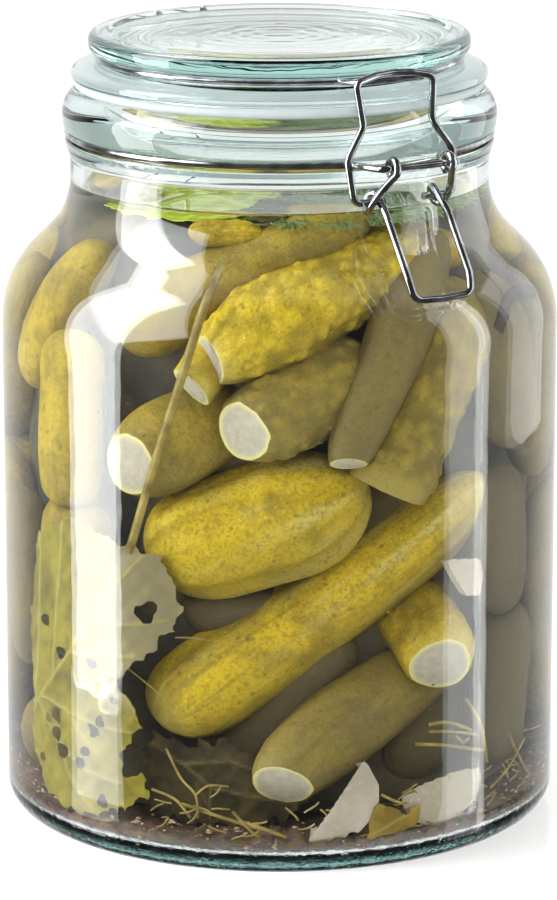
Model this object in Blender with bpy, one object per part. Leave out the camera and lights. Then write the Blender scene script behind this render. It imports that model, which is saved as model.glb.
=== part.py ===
"""Clip top jar of pickled gherkins, shut: glass jar and lid, seal ring, wire clip and the packed gherkins.

Lengths below are in millimetres and become metres in the meshes. The jar stands on z = 0 on the Z axis.
The clip is at the front, -Y, and the lid's hinge at the back, +Y. A turn is an angle round the Z axis.
"""

import math

import bmesh
import bpy
from mathutils import Matrix, Vector

MM = 0.001
SIDES = 48          # flats round the jar, the lid and the seal ring
GAP = 0.35          # between two pieces that touch

# Jar
HEIGHT = 226.9      # base to the top of the lid
BODY_R = 80.0
WALL = 4.0
BASE_THICK = 7.0
HEEL_R = 7.0
BODY_TOP = 144.0    # where the straight side ends
SHOULDER_R = 30.0   # convex bend under the shoulder
SHOULDER_SLOPE = 45.0
NECK_BEND_R = 22.0  # concave bend from the shoulder to the neck
NECK_R = 60.0
COLLAR_R = 62.2
RIM_TOP = 210.6
RIM_R = 58.0
MOUTH_R = 48.6

# Wires
RING_WIRE_R = 1.0
LID_WIRE_R = 0.9
CLIP_WIRE_R = 1.05
NECK_RING_R = 60.6  # to the middle of the wire
NECK_RING_Z = 197.8
LID_RING_R = 52.0
LID_RING_Z = 219.9
LID_BAR_OUT = 57.9  # the lid wire's front bar, which the bail hooks over
LID_BAR_Z = 220.3
LID_BAR_HALF = 10.6

# Clip, as distances out from the axis and up from the base
PIVOT_OUT = 73.0
PIVOT_Z = 198.8
PIVOT_HALF = 8.8
KNEE_OUT = 64.6
KNEE_Z = 188.4
COIL_FROM = 12.3    # where the lever's coil starts, off the middle
COIL_TO = 9.3
HINGE_OUT = 67.0
HINGE_HALF = 8.0

# Lid
DISC_R = 54.5
DISC_UNDER = 221.1
FLANGE_R = 59.5
FLANGE_UNDER = 213.8

# Contents
FACE_TURN = -31.8   # the turn of the side that the best gherkins face, from the clip
HEAP_TOP = 180.5    # the highest piece, just under the brine's surface
WALL_SPARE = 1.3    # least room between a gherkin and the glass
HOLLOW = 0.18       # how far the heap's core is drawn in behind the front gherkins, as a share
HOLLOW_TURN = 10.0  # where it is drawn in, and half how wide, as turns from the gherkins' side
HOLLOW_WIDE = 40.0


def clear_scene():
    for old in list(bpy.data.objects):
        bpy.data.objects.remove(old, do_unlink=True)


def material(name, colour, roughness=0.4, metallic=0.0):
    mat = bpy.data.materials.new(name)
    mat.use_nodes = True
    shader = mat.node_tree.nodes["Principled BSDF"]
    shader.inputs["Base Color"].default_value = (*colour, 1.0)
    shader.inputs["Roughness"].default_value = roughness
    shader.inputs["Metallic"].default_value = metallic
    return mat


def add_object(name, mesh, mat):
    mesh.materials.append(mat)
    for face in mesh.polygons:
        face.material_index = 0
    obj = bpy.data.objects.new(name, mesh)
    bpy.context.scene.collection.objects.link(obj)
    return obj


def smooth(obj, angle=35.0):
    obj.data.shade_smooth()
    obj.data.set_sharp_from_angle(angle=math.radians(angle))
    return obj


def arc(centre, radius, start, end, steps):
    """Points (r, z) on an arc, from one angle to another in degrees."""
    points = []
    for step in range(steps + 1):
        angle = math.radians(start + (end - start) * step / steps)
        points.append((centre[0] + radius * math.cos(angle), centre[1] + radius * math.sin(angle)))
    return points


def turned(name, profile, mat, closed=False, sides=SIDES):
    """A solid turned about Z from an outline in (r, z). It runs from the axis to the axis, or is closed."""
    bm = bmesh.new()
    rings = []
    for r, z in profile:
        if r < 0.001:
            rings.append([bm.verts.new((0.0, 0.0, z * MM))])
            continue
        ring = []
        for side in range(sides):
            angle = 2 * math.pi * side / sides
            ring.append(bm.verts.new((r * math.cos(angle) * MM, r * math.sin(angle) * MM, z * MM)))
        rings.append(ring)
    pairs = list(zip(rings, rings[1:]))
    if closed:
        pairs.append((rings[-1], rings[0]))
    for upper, lower in pairs:
        for side in range(sides):
            after = (side + 1) % sides
            if len(upper) == 1:
                bm.faces.new((upper[0], lower[side], lower[after]))
            elif len(lower) == 1:
                bm.faces.new((upper[side], lower[0], upper[after]))
            else:
                bm.faces.new((upper[side], lower[side], lower[after], upper[after]))
    bmesh.ops.recalc_face_normals(bm, faces=bm.faces)
    mesh = bpy.data.meshes.new(name)
    bm.to_mesh(mesh)
    bm.free()
    return smooth(add_object(name, mesh, mat))


def shoulder(radius_out, bend_in, bend_out, steps):
    """The neck's concave bend and the shoulder's convex one, top to bottom, for one wall."""
    slope = math.radians(SHOULDER_SLOPE)
    low = (radius_out - bend_out, BODY_TOP)
    convex = arc(low, bend_out, SHOULDER_SLOPE, 0.0, steps + 1)
    wall_gap = BODY_R - radius_out
    neck = NECK_R - wall_gap
    run = (convex[0][0] - (neck + bend_in - bend_in * math.cos(slope))) / math.sin(slope)
    centre_z = convex[0][1] + run * math.cos(slope) + bend_in * math.sin(slope)
    concave = arc((neck + bend_in, centre_z), bend_in, 180.0, 180.0 + SHOULDER_SLOPE, steps)
    return concave + convex


def make_jar(mat):
    floor = RING_WIRE_R + GAP
    groove = NECK_RING_R - floor
    outer = [
        (RIM_R, RIM_TOP),
        (60.0, 209.6),
        (61.6, 207.0),
        (COLLAR_R, 203.8),
        (61.9, NECK_RING_Z + floor + 0.6),
        (groove, NECK_RING_Z + floor + 0.2),
        (groove, NECK_RING_Z - floor - 0.2),
        (61.3, NECK_RING_Z - floor - 0.5),
        (60.9, 194.3),
        (NECK_R, 192.4),
    ]
    outer += shoulder(BODY_R, NECK_BEND_R, SHOULDER_R, 4)
    outer += arc((BODY_R - HEEL_R, HEEL_R), HEEL_R, 0.0, -90.0, 4)
    inner = [(0.0, BASE_THICK), (BODY_R - WALL - 9.0, BASE_THICK)]
    inner += arc((BODY_R - WALL - 6.0, BASE_THICK + 6.0), 6.0, -60.0, 0.0, 2)
    inner += reversed(shoulder(BODY_R - WALL, NECK_BEND_R + WALL, SHOULDER_R - WALL, 3))
    inner += [(NECK_R - WALL, 195.0), (MOUTH_R, 203.0), (MOUTH_R, RIM_TOP - 1.5), (MOUTH_R + 1.5, RIM_TOP)]
    return turned("jar_body", inner + outer + [(0.0, 0.0)], mat)


def make_lid(mat):
    groove_floor = LID_RING_R - LID_WIRE_R - GAP
    groove_low = LID_RING_Z - LID_WIRE_R - GAP
    profile = [(0.0, HEIGHT), (DISC_R - 2.2, HEIGHT)]
    profile += arc((DISC_R - 2.2, HEIGHT - 2.2), 2.2, 60.0, 0.0, 2)
    profile += arc((DISC_R - 1.8, DISC_UNDER + 1.8), 1.8, 0.0, -90.0, 3)
    profile += [
        (groove_floor, DISC_UNDER),
        (groove_floor, groove_low),
        (53.4, groove_low),
        (56.8, 217.6),
        (58.8, 216.8),
        (FLANGE_R, 215.6),
        (FLANGE_R, FLANGE_UNDER + 0.6),
        (FLANGE_R - 0.6, FLANGE_UNDER),
        (MOUTH_R - 1.2, FLANGE_UNDER),
        (MOUTH_R - 1.8, 207.8),
        (MOUTH_R - 3.4, 206.8),
        (MOUTH_R - 5.4, 208.0),
        (MOUTH_R - 6.4, 216.0),
        (MOUTH_R - 10.0, 219.4),
        (0.0, 220.4),
    ]
    return turned("lid_glass", profile, mat)


def make_seal(mat):
    under = RIM_TOP + GAP
    over = FLANGE_UNDER - GAP
    inside = MOUTH_R + 0.8
    outside = FLANGE_R - 0.9
    middle = (under + over) / 2
    profile = [
        (inside, over),
        (outside - 0.6, over),
        (outside, middle),
        (outside - 0.6, under),
        (inside + 1.6, under),
        (inside, under + 1.0),
    ]
    return turned("seal_ring", profile, mat, closed=True)


def rounded(corners, step=24.0):
    """A path through corners (point, bend radius), with an arc of that radius at each corner."""
    points = []
    for index, (place, radius) in enumerate(corners):
        here = Vector(place)
        if index in (0, len(corners) - 1):
            points.append(here)
            continue
        back = (Vector(corners[index - 1][0]) - here).normalized()
        ahead = (Vector(corners[index + 1][0]) - here).normalized()
        between = back.angle(ahead)
        bend = math.pi - between
        if bend < 0.03:
            points.append(here)
            continue
        centre = here + (back + ahead).normalized() * (radius / math.sin(between / 2))
        first = here + back * (radius / math.tan(between / 2)) - centre
        axis = first.cross(ahead).normalized()
        steps = max(2, math.ceil(math.degrees(bend) / step))
        for part in range(steps + 1):
            points.append(centre + Matrix.Rotation(bend * part / steps, 3, axis) @ first)
    return points


def wire(name, points, radius, mat, closed=False, pivot=None, fineness=2):
    """A round wire along points in millimetres. With a pivot its origin lies there."""
    origin = Vector(pivot) if pivot else Vector()
    curve = bpy.data.curves.new(name, "CURVE")
    curve.dimensions = "3D"
    curve.bevel_depth = radius * MM
    curve.bevel_resolution = fineness
    curve.use_fill_caps = not closed
    spline = curve.splines.new("POLY")
    spline.points.add(len(points) - 1)
    for slot, point in zip(spline.points, points):
        slot.co = (*((Vector(point) - origin) * MM), 1.0)
    spline.use_cyclic_u = closed
    spline.use_smooth = True
    curve.materials.append(mat)
    obj = bpy.data.objects.new(name, curve)
    obj.location = origin * MM
    bpy.context.scene.collection.objects.link(obj)
    return obj


def front(x, out, z):
    return Vector((x, -out, z))


def both_sides(left):
    """A path that ends on the clip's middle, and then its mirror image back out."""
    return left + [Vector((-p.x, p.y, p.z)) for p in reversed(left[:-1])]


def loop(x_from, x_to, out, z, radius, start, end, steps):
    """An arc round an axis along X at (out, z), from one angle to another, drifting in x."""
    points = []
    for step in range(steps + 1):
        share = step / steps
        angle = math.radians(start + (end - start) * share)
        drift = x_from + (x_to - x_from) * share
        points.append(front(drift, out + radius * math.cos(angle), z + radius * math.sin(angle)))
    return points


def ring_side(radius, z, start, end, steps):
    """Points round the left side, -X, from a turn off the front to a turn off the front."""
    points = []
    for step in range(steps + 1):
        angle = math.radians(start + (end - start) * step / steps)
        points.append(Vector((-radius * math.sin(angle), -radius * math.cos(angle), z)))
    return points


def make_neck_wire(mat):
    z = NECK_RING_Z
    at_front = rounded([
        (front(0.0, PIVOT_OUT, PIVOT_Z), 0.0),
        (front(-PIVOT_HALF - 3.4, PIVOT_OUT, PIVOT_Z), 1.6),
        (front(-PIVOT_HALF - 5.2, 61.0, z), 1.8),
        (ring_side(NECK_RING_R, z, 20.0, 21.0, 1)[0], 0.0),
    ])
    at_back = rounded([
        (ring_side(NECK_RING_R, z, 159.0, 160.0, 1)[1], 0.0),
        (front(-HINGE_HALF - 5.6, -60.2, z), 1.8),
        (front(-HINGE_HALF - 3.4, -HINGE_OUT, z), 1.6),
        (front(0.0, -HINGE_OUT, z), 0.0),
    ])
    side = ring_side(NECK_RING_R, z, 23.0, 157.0, 16)
    left = at_front + side + at_back
    right = [Vector((-p.x, p.y, p.z)) for p in reversed(left)]
    return wire("neck_wire", left[1:] + right[1:-1] + [left[0]], RING_WIRE_R, mat, closed=True)


def make_lid_wire(mat):
    """One wire from a hinge eye at the back, round the groove and over the front, to the other eye."""
    z = LID_RING_Z
    clear = RING_WIRE_R + GAP + LID_WIRE_R
    at_front = rounded([
        (front(0.0, LID_BAR_OUT, LID_BAR_Z), 0.0),
        (front(-LID_BAR_HALF, LID_BAR_OUT, LID_BAR_Z), 1.6),
        (front(-LID_BAR_HALF - 1.6, 50.6, z), 1.4),
        (ring_side(LID_RING_R, z, 18.0, 19.0, 1)[0], 0.0),
    ])
    side = ring_side(LID_RING_R, z, 21.0, 163.0, 17)
    eye = loop(-HINGE_HALF, -HINGE_HALF, -HINGE_OUT, NECK_RING_Z, clear, 180.0, 440.0, 9)
    at_back = rounded([
        (ring_side(LID_RING_R, z, 165.0, 166.0, 1)[0], 0.0),
        (front(-HINGE_HALF, -51.4, z), 1.4),
        (front(-HINGE_HALF, -HINGE_OUT - clear, z), 3.0),
        (eye[0], 0.0),
    ])
    left = at_front + side + at_back + eye[1:]
    right = [Vector((-p.x, p.y, p.z)) for p in left]
    return wire("lid_wire", list(reversed(left)) + right[1:], LID_WIRE_R, mat, fineness=1)


def make_lever(mat):
    eye_r = RING_WIRE_R + GAP + CLIP_WIRE_R
    coil_r = 2 * CLIP_WIRE_R + GAP
    lean = math.degrees(math.atan2(KNEE_OUT - PIVOT_OUT, PIVOT_Z - KNEE_Z))
    leave = 61.0
    eye = loop(-PIVOT_HALF, -PIVOT_HALF - 0.3, PIVOT_OUT, PIVOT_Z, eye_r, 250.0, lean, 9)
    coil = loop(-COIL_FROM, -COIL_TO, KNEE_OUT, KNEE_Z, coil_r, lean, leave - 360.0, 9)
    arm = eye[-1].lerp(coil[0], 0.45)
    arm.x = 0.8 - COIL_FROM
    handle = rounded([
        (coil[-1], 0.0),
        (front(-9.9, 71.9, 184.9), 6.0),
        (front(-9.9, 82.6, 169.6), 8.0),
        (front(-9.2, 84.5, 164.4), 2.6),
        (front(0.0, 84.5, 163.9), 0.0),
    ])
    left = eye + [arm] + coil + handle[1:]
    pivot = front(0.0, PIVOT_OUT, PIVOT_Z)
    return wire("lever", both_sides(left), CLIP_WIRE_R, mat, pivot=pivot)


def make_bail(mat):
    left = rounded([
        (front(-6.4, KNEE_OUT, KNEE_Z), 0.0),
        (front(-16.0, KNEE_OUT, KNEE_Z), 2.2),
        (front(-17.2, 63.0, 200.4), 4.0),
        (front(-11.2, 61.6, 208.8), 4.0),
        (front(-12.6, 60.0, 220.8), 2.0),
        (front(-6.0, 59.4, 222.2), 8.0),
        (front(0.0, 59.0, 222.5), 0.0),
    ])
    pivot = front(0.0, KNEE_OUT, KNEE_Z)
    return wire("bail", both_sides(left), CLIP_WIRE_R, mat, pivot=pivot)


def in_fill(turn, height, radius):
    """A place in the jar: a turn from the side the gherkins face, a height and a distance from the axis."""
    angle = math.radians(FACE_TURN + turn)
    return Vector((radius * math.sin(angle), -radius * math.cos(angle), height))


# Each gherkin: its two ends (turn, height, distance from the axis), and its radius at each end and between.
# A radius of an end over half the middle's is a cut face, and a small one is a rounded tip.
FRONT_GHERKINS = {
    "long_smooth": ((-34, 39, 61), (57, 103, 62), 9.0, 12.6, 4.0),
    "fat_oval": ((-36, 85, 57), (23, 108, 57), 5.0, 17.4, 5.0),
    "top_smooth": ((-36, 149, 60), (27, 176, 48), 5.0, 9.8, 4.0),
    "warty": ((-15, 145, 66), (43, 168, 53), 8.0, 12.2, 5.0),
    "middle_cut": ((-10, 125, 67), (26, 142, 54), 8.0, 10.6, 5.0),
    "slim_smooth": ((14, 117, 68), (50, 168, 54), 7.0, 7.9, 4.0),
    "dark_warty": ((26, 108, 66), (57, 153, 57), 8.0, 10.8, 4.0),
    "left_dark": ((-35, 112, 66), (-3, 135, 53), 7.0, 9.6, 5.0),
    "low_cut": ((-2, 25, 66), (57, 55, 60), 9.0, 11.4, 4.0),
    "right_cut": ((38, 56, 65), (24, 86, 46), 8.0, 11.2, 5.0),
    "small_cut": ((-20, 138, 69), (-18, 154, 52), 5.0, 6.6, 3.0),
    "left_high": ((-56, 146, 64), (-58, 97, 65), 7.0, 10.4, 5.0),
    "left_low": ((-57, 100, 64), (-61, 55, 63), 8.0, 11.0, 4.0),
    "left_foot": ((-82, 18, 62), (-52, 44, 61), 5.0, 10.5, 5.0),
    "left_round": ((-78, 128, 62), (-58, 165, 54), 4.0, 9.5, 4.0),
    "left_far": ((-84, 96, 63), (-80, 46, 64), 5.0, 10.5, 5.0),
    "right_high": ((60, 156, 58), (69, 112, 64), 4.0, 10.5, 5.0),
    "right_middle": ((61, 108, 64), (64, 64, 63), 5.0, 10.4, 5.0),
    "right_low": ((68, 66, 63), (62, 19, 64), 5.0, 10.5, 5.0),
    "right_far": ((84, 148, 62), (80, 100, 64), 5.0, 10.0, 5.0),
}

def back_gherkins():
    """The far side, by rule: three rows that lean by turns, then a row in the shoulder."""
    found = {}
    for row in range(3):
        for place in range(4):
            middle = 108.0 + 48.0 * place + 14.0 * (row % 2)
            lean = 14.0 if (row + place) % 2 else -14.0
            low = 14.0 + 44.0 * row
            found[f"back_{row}_{place}"] = (
                (middle - lean, low + 3.0 * place % 7, 63),
                (middle + lean, low + 44.0, 63),
                5.0, 10.5, 5.0,
            )
    for place in range(3):
        middle = 110.0 + 62.0 * place
        found[f"shoulder_{place}"] = ((middle - 22, 156, 58), (middle + 22, 164, 54), 4.0, 9.0, 4.0)
    return found


def room_at(height):
    """How far from the axis the gherkins may reach at a height, a little inside the glass."""
    wall = shoulder(BODY_R - WALL, NECK_BEND_R + WALL, SHOULDER_R - WALL, 3)
    if height < BASE_THICK + 6.0:
        return BODY_R - WALL - 6.0 - WALL_SPARE
    for (upper_r, upper_z), (lower_r, lower_z) in zip(wall, wall[1:]):
        if lower_z <= height <= upper_z:
            share = (height - lower_z) / (upper_z - lower_z)
            return lower_r + (upper_r - lower_r) * share - WALL_SPARE
    return (wall[0][0] if height > wall[0][1] else BODY_R - WALL) - WALL_SPARE


def kept_inside(point):
    """The point, moved towards the axis if it would be in the glass, and under the lid's air."""
    height = min(max(point.z, BASE_THICK + 1.5), HEAP_TOP)
    reach = math.hypot(point.x, point.y)
    share = min(1.0, room_at(height) / max(reach, 0.001))
    return Vector((point.x * share, point.y * share, height))


def gherkin(ends, collection, sides, rings):
    """A gherkin of few sides as a closed mesh, for the union."""
    start, end, start_r, middle_r, end_r = ends
    foot = in_fill(*start)
    tip = in_fill(*end)
    along = tip - foot
    turn = along.to_track_quat("Z", "Y")
    bm = bmesh.new()
    loops = []
    for ring in range(rings + 1):
        share = ring / rings
        edge_r = start_r if share < 0.5 else end_r
        radius = edge_r + (middle_r - edge_r) * math.sqrt(max(0.0, 1.0 - (2 * share - 1) ** 2))
        loops.append([
            bm.verts.new(kept_inside(foot + along * share + turn @ Vector((
                radius * math.cos(2 * math.pi * side / sides),
                radius * math.sin(2 * math.pi * side / sides),
                0.0,
            ))) * MM)
            for side in range(sides)
        ])
    for lower, upper in zip(loops, loops[1:]):
        for side in range(sides):
            after = (side + 1) % sides
            bm.faces.new((lower[side], lower[after], upper[after], upper[side]))
    bm.faces.new(reversed(loops[0]))
    bm.faces.new(loops[-1])
    bmesh.ops.recalc_face_normals(bm, faces=bm.faces)
    mesh = bpy.data.meshes.new("gherkin")
    bm.to_mesh(mesh)
    bm.free()
    obj = bpy.data.objects.new("gherkin", mesh)
    collection.objects.link(obj)
    return obj


def make_heap(mat):
    core = turned("gherkin_heap", [
        (0.0, HEAP_TOP), (37.0, HEAP_TOP - 0.3), (48.0, 175.0), (54.0, 155.0),
        (55.0, 14.0), (49.0, 8.0), (0.0, 8.0),
    ], mat, sides=18)
    for vert in core.data.vertices:
        turn = math.degrees(math.atan2(vert.co.x, -vert.co.y)) - FACE_TURN - HOLLOW_TURN
        turn = (turn + 180.0) % 360.0 - 180.0
        under_top = min(1.0, max(0.0, (176.0 - vert.co.z / MM) / 20.0))
        share = 1.0 - HOLLOW * under_top * math.exp(-((turn / HOLLOW_WIDE) ** 2))
        vert.co.x *= share
        vert.co.y *= share
    pieces = bpy.data.collections.new("pieces")
    bpy.context.scene.collection.children.link(pieces)
    for ends in FRONT_GHERKINS.values():
        gherkin(ends, pieces, sides=7, rings=4)
    for ends in back_gherkins().values():
        gherkin(ends, pieces, sides=6, rings=4)
    join = core.modifiers.new("join", "BOOLEAN")
    join.operation = "UNION"
    join.operand_type = "COLLECTION"
    join.collection = pieces
    join.solver = "EXACT"
    bpy.context.view_layer.objects.active = core
    for obj in bpy.context.view_layer.objects:
        obj.select_set(obj == core)
    bpy.ops.object.modifier_apply(modifier=join.name)
    for obj in list(pieces.objects):
        bpy.data.objects.remove(obj, do_unlink=True)
    bpy.data.collections.remove(pieces)
    return smooth(core)


def main():
    clear_scene()
    glass = material("clear glass", (0.86, 0.95, 0.93), 0.04)
    lid_glass = material("lid glass", (0.72, 0.90, 0.87), 0.04)
    rubber = material("pale rubber", (0.62, 0.66, 0.66), 0.55)
    chrome = material("bright wire", (0.75, 0.76, 0.78), 0.15, 1.0)
    gherkin_skin = material("gherkin skin", (0.42, 0.38, 0.06), 0.4)
    make_jar(glass)
    make_lid(lid_glass)
    make_seal(rubber)
    make_neck_wire(chrome)
    make_lid_wire(chrome)
    make_lever(chrome)
    make_bail(chrome)
    make_heap(gherkin_skin)


main()
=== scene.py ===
"""The looks of a clip top jar of gherkins: clear glass, bright wire, brine, gherkins, leaves and dill.

It is laid out as an add-on and runs as a script. Sizes are in metres, and MM turns millimetres into them.
The jar stands on z = 0 on the Z axis, with its clip at -Y and the lid's hinge at +Y. A turn is an angle round
that axis: inside the jar it is counted from the side that the gherkins face.
"""

import math
import random

import bpy
import numpy as np
from mathutils import Matrix, Vector


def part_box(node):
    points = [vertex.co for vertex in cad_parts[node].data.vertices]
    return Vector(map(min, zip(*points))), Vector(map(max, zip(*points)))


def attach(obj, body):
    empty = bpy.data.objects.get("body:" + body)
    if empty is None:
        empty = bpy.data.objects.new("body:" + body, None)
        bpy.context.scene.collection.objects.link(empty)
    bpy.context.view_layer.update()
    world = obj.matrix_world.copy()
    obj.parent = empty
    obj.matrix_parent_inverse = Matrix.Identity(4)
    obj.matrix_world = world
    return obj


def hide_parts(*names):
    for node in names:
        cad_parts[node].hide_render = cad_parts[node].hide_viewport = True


bl_info = {
    "name": "Clip top jar of gherkins",
    "version": (1, 0, 0),
    "blender": (4, 5, 0),
    "location": "View3D > Sidebar > Jar",
    "description": "Dresses a packed clip top jar with glass, wire, brine and gherkins",
    "category": "Add Mesh",
}

MM = 0.001

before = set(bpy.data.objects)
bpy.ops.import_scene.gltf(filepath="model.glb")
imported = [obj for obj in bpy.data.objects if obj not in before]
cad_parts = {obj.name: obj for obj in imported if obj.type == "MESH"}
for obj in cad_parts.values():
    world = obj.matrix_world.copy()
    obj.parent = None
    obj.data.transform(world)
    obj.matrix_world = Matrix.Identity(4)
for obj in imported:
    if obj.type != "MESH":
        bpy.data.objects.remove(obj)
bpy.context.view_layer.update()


def high(node):
    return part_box(node)[1]


def low(node):
    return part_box(node)[0]


BODY_R = high("jar_body").x / MM
RIM_TOP = high("jar_body").z / MM
LID_TOP = high("lid_glass").z / MM
FLANGE_R = high("lid_glass").x / MM
NECK_RING_Z = (high("neck_wire").z + low("neck_wire").z) / 2 / MM


# Settings

def length(name, description, millimetres):
    return bpy.props.FloatProperty(
        name=name, description=description, default=millimetres * MM, unit="LENGTH")


def colour_setting(name, description, default):
    return bpy.props.FloatVectorProperty(
        name=name, description=description, default=default, size=3, subtype="COLOR", min=0.0, max=1.0)


def angle_setting(name, description, degrees):
    return bpy.props.FloatProperty(
        name=name, description=description, default=math.radians(degrees), subtype="ANGLE")


class JarSizes(bpy.types.PropertyGroup):
    wall: length("Wall", "Thickness of the jar's side", 4.0)
    floor: length("Floor", "Thickness of the jar's base at its edge", 4.6)
    neck: length("Neck", "Outer radius of the neck", 60.0)
    body_top: length("Side top", "Height where the straight side ends", 144.0)
    brine_top: length("Brine", "Height of the brine's surface", 183.4)
    turn_steps: bpy.props.IntProperty(
        name="Steps", description="Facets round the glass", default=192, min=24)


class ClipSizes(bpy.types.PropertyGroup):
    ring_wire: length("Ring wire", "Radius of the neck ring's wire", 1.0)
    lid_wire: length("Lid wire", "Radius of the lid's wire", 0.9)
    clip_wire: length("Clip wire", "Radius of the lever's and bail's wire", 1.05)
    play: length("Play", "Gap between wires that turn in each other", 0.35)


class FoodColours(bpy.types.PropertyGroup):
    skin: colour_setting("Skin", "Main colour of the gherkins' skin", (0.66, 0.465, 0.020))
    skin_dark: colour_setting("Dark skin", "Colour of the skin's darker patches", (0.36, 0.25, 0.020))
    skin_pale: colour_setting("Pale skin", "Colour of the skin's pale streaks", (0.68, 0.55, 0.17))
    flesh: colour_setting("Flesh", "Colour of the cut faces", (0.43, 0.385, 0.29))
    garlic: colour_setting("Garlic", "Colour of the garlic", (0.42, 0.355, 0.265))
    leaf: colour_setting("Leaf", "Colour of the leaf between its veins", (0.17, 0.135, 0.02))
    vein: colour_setting("Veins", "Colour of the leaf's veins", (0.40, 0.34, 0.11))
    dill: colour_setting("Dill", "Colour of the dill's fronds", (0.17, 0.25, 0.09))


class StudioSettings(bpy.types.PropertyGroup):
    azimuth: angle_setting("Azimuth", "The camera's turn round the jar from the clip", -31.8)
    pitch: angle_setting("Pitch", "How far the camera looks down", 13.9)
    distance: bpy.props.FloatProperty(
        name="Distance", description="From the camera to the jar's axis", default=1.3095, unit="LENGTH")
    aim: length("Aim", "Height on the axis that the camera looks at", 103.6)
    lens: bpy.props.FloatProperty(
        name="Lens", description="Focal length in millimetres", default=180.0)
    key: bpy.props.FloatProperty(
        name="Key light", description="Radiance that the softboxes' levels are shares of", default=9.0)
    fill: bpy.props.FloatProperty(
        name="Fill light", description="How much the sky lights", default=0.62)
    backdrop: bpy.props.FloatProperty(
        name="Backdrop", description="How bright the sky looks", default=1.02)
    mirrored: bpy.props.FloatProperty(
        name="Mirrored sky", description="How bright the camera's side of the sky mirrors", default=0.08)


def settings(name):
    return getattr(bpy.context.scene, name)


# Making shapes

def deselect():
    if bpy.context.object and bpy.context.object.mode != "OBJECT":
        bpy.ops.object.mode_set(mode="OBJECT")
    bpy.ops.object.select_all(action="DESELECT")


def only(piece):
    deselect()
    piece.select_set(True)
    bpy.context.view_layer.objects.active = piece


def named(name):
    piece = bpy.context.object
    piece.name = name
    piece.data.name = name
    return piece


def get_points(piece):
    points = np.empty(len(piece.data.vertices) * 3)
    piece.data.vertices.foreach_get("co", points)
    return points.reshape(-1, 3)


def put_points(piece, points):
    piece.data.vertices.foreach_set("co", np.ascontiguousarray(points, dtype=np.float64).ravel())
    piece.data.update()


def arc(centre, radius, start, end, steps):
    """Points (r, z) on an arc, from one angle to another in degrees."""
    angles = np.radians(np.linspace(start, end, steps + 1))
    return [(centre[0] + radius * math.cos(a), centre[1] + radius * math.sin(a)) for a in angles]


def eased(points, per=5):
    """A smooth line through the points, with some more between each two."""
    ends = [points[0]] + list(points) + [points[-1]]
    line = []
    for before, here, after, next_one in zip(ends, ends[1:], ends[2:], ends[3:]):
        a, b, c, d = (np.array(p, float) for p in (before, here, after, next_one))
        for step in range(per):
            t = step / per
            line.append(tuple(0.5 * (
                2 * b + (c - a) * t + (2 * a - 5 * b + 4 * c - d) * t ** 2
                + (3 * b - a - 3 * c + d) * t ** 3)))
    return line + [tuple(points[-1])]


def turned(name, outline, steps):
    """A solid turned about Z from a closed outline of points (r, z) in millimetres."""
    deselect()
    bpy.ops.mesh.primitive_circle_add(vertices=len(outline), radius=0.01, location=(0.0, 0.0, 0.0))
    piece = named(name)
    put_points(piece, [(r * MM, 0.0, z * MM) for r, z in outline])
    bpy.ops.object.mode_set(mode="EDIT")
    bpy.ops.mesh.select_all(action="SELECT")
    bpy.ops.mesh.spin(steps=steps, angle=2 * math.pi, center=(0.0, 0.0, 0.0), axis=(0.0, 0.0, 1.0))
    bpy.ops.mesh.select_all(action="SELECT")
    bpy.ops.mesh.remove_doubles(threshold=0.002 * MM)
    bpy.ops.mesh.normals_make_consistent(inside=False)
    bpy.ops.object.mode_set(mode="OBJECT")
    bpy.ops.object.shade_smooth_by_angle(angle=math.radians(40.0))
    return piece


def rounded(corners, step=9.0):
    """A path through corners (point, bend radius), with an arc of that radius at each corner."""
    points = []
    for index, (place, radius) in enumerate(corners):
        here = Vector(place)
        if index in (0, len(corners) - 1) or radius <= 0:
            points.append(here)
            continue
        back = (Vector(corners[index - 1][0]) - here).normalized()
        ahead = (Vector(corners[index + 1][0]) - here).normalized()
        between = back.angle(ahead)
        bend = math.pi - between
        if bend < 0.03:
            points.append(here)
            continue
        centre = here + (back + ahead).normalized() * (radius / math.sin(between / 2))
        first = here + back * (radius / math.tan(between / 2)) - centre
        axis = first.cross(ahead).normalized()
        steps = max(3, math.ceil(math.degrees(bend) / step))
        for part in range(steps + 1):
            points.append(centre + Matrix.Rotation(bend * part / steps, 3, axis) @ first)
    return points


def wire(name, points, radius, closed=False, fineness=5):
    """A round wire as a mesh, along one line of points in millimetres or several. The radius is in metres."""
    deselect()
    bpy.ops.curve.primitive_bezier_curve_add(location=(0.0, 0.0, 0.0))
    piece = named(name)
    curve = piece.data
    curve.splines.clear()
    curve.dimensions = "3D"
    curve.bevel_depth = radius
    curve.bevel_resolution = fineness
    curve.use_fill_caps = not closed
    lines = [points] if isinstance(points[0], (Vector, tuple)) else points
    for line in lines:
        spline = curve.splines.new("POLY")
        spline.points.add(len(line) - 1)
        for slot, point in zip(spline.points, line):
            slot.co = (*(Vector(point) * MM), 1.0)
        spline.use_cyclic_u = closed
        spline.use_smooth = True
    bpy.ops.object.convert(target="MESH")
    piece = bpy.context.object
    bpy.ops.object.shade_smooth_by_angle(angle=math.radians(50.0))
    return piece


def painted(piece, **values):
    """Gives each point of a piece the values that its material reads."""
    for label, numbers in values.items():
        attribute = piece.data.attributes.new(label, "FLOAT", "POINT")
        attribute.data.foreach_set("value", numbers.astype(np.float32))


def joined(name, pieces):
    """Several meshes as one piece."""
    only(pieces[0])
    for piece in pieces[1:]:
        piece.select_set(True)
    if len(pieces) > 1:
        bpy.ops.object.join()
    return named(name)


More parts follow.
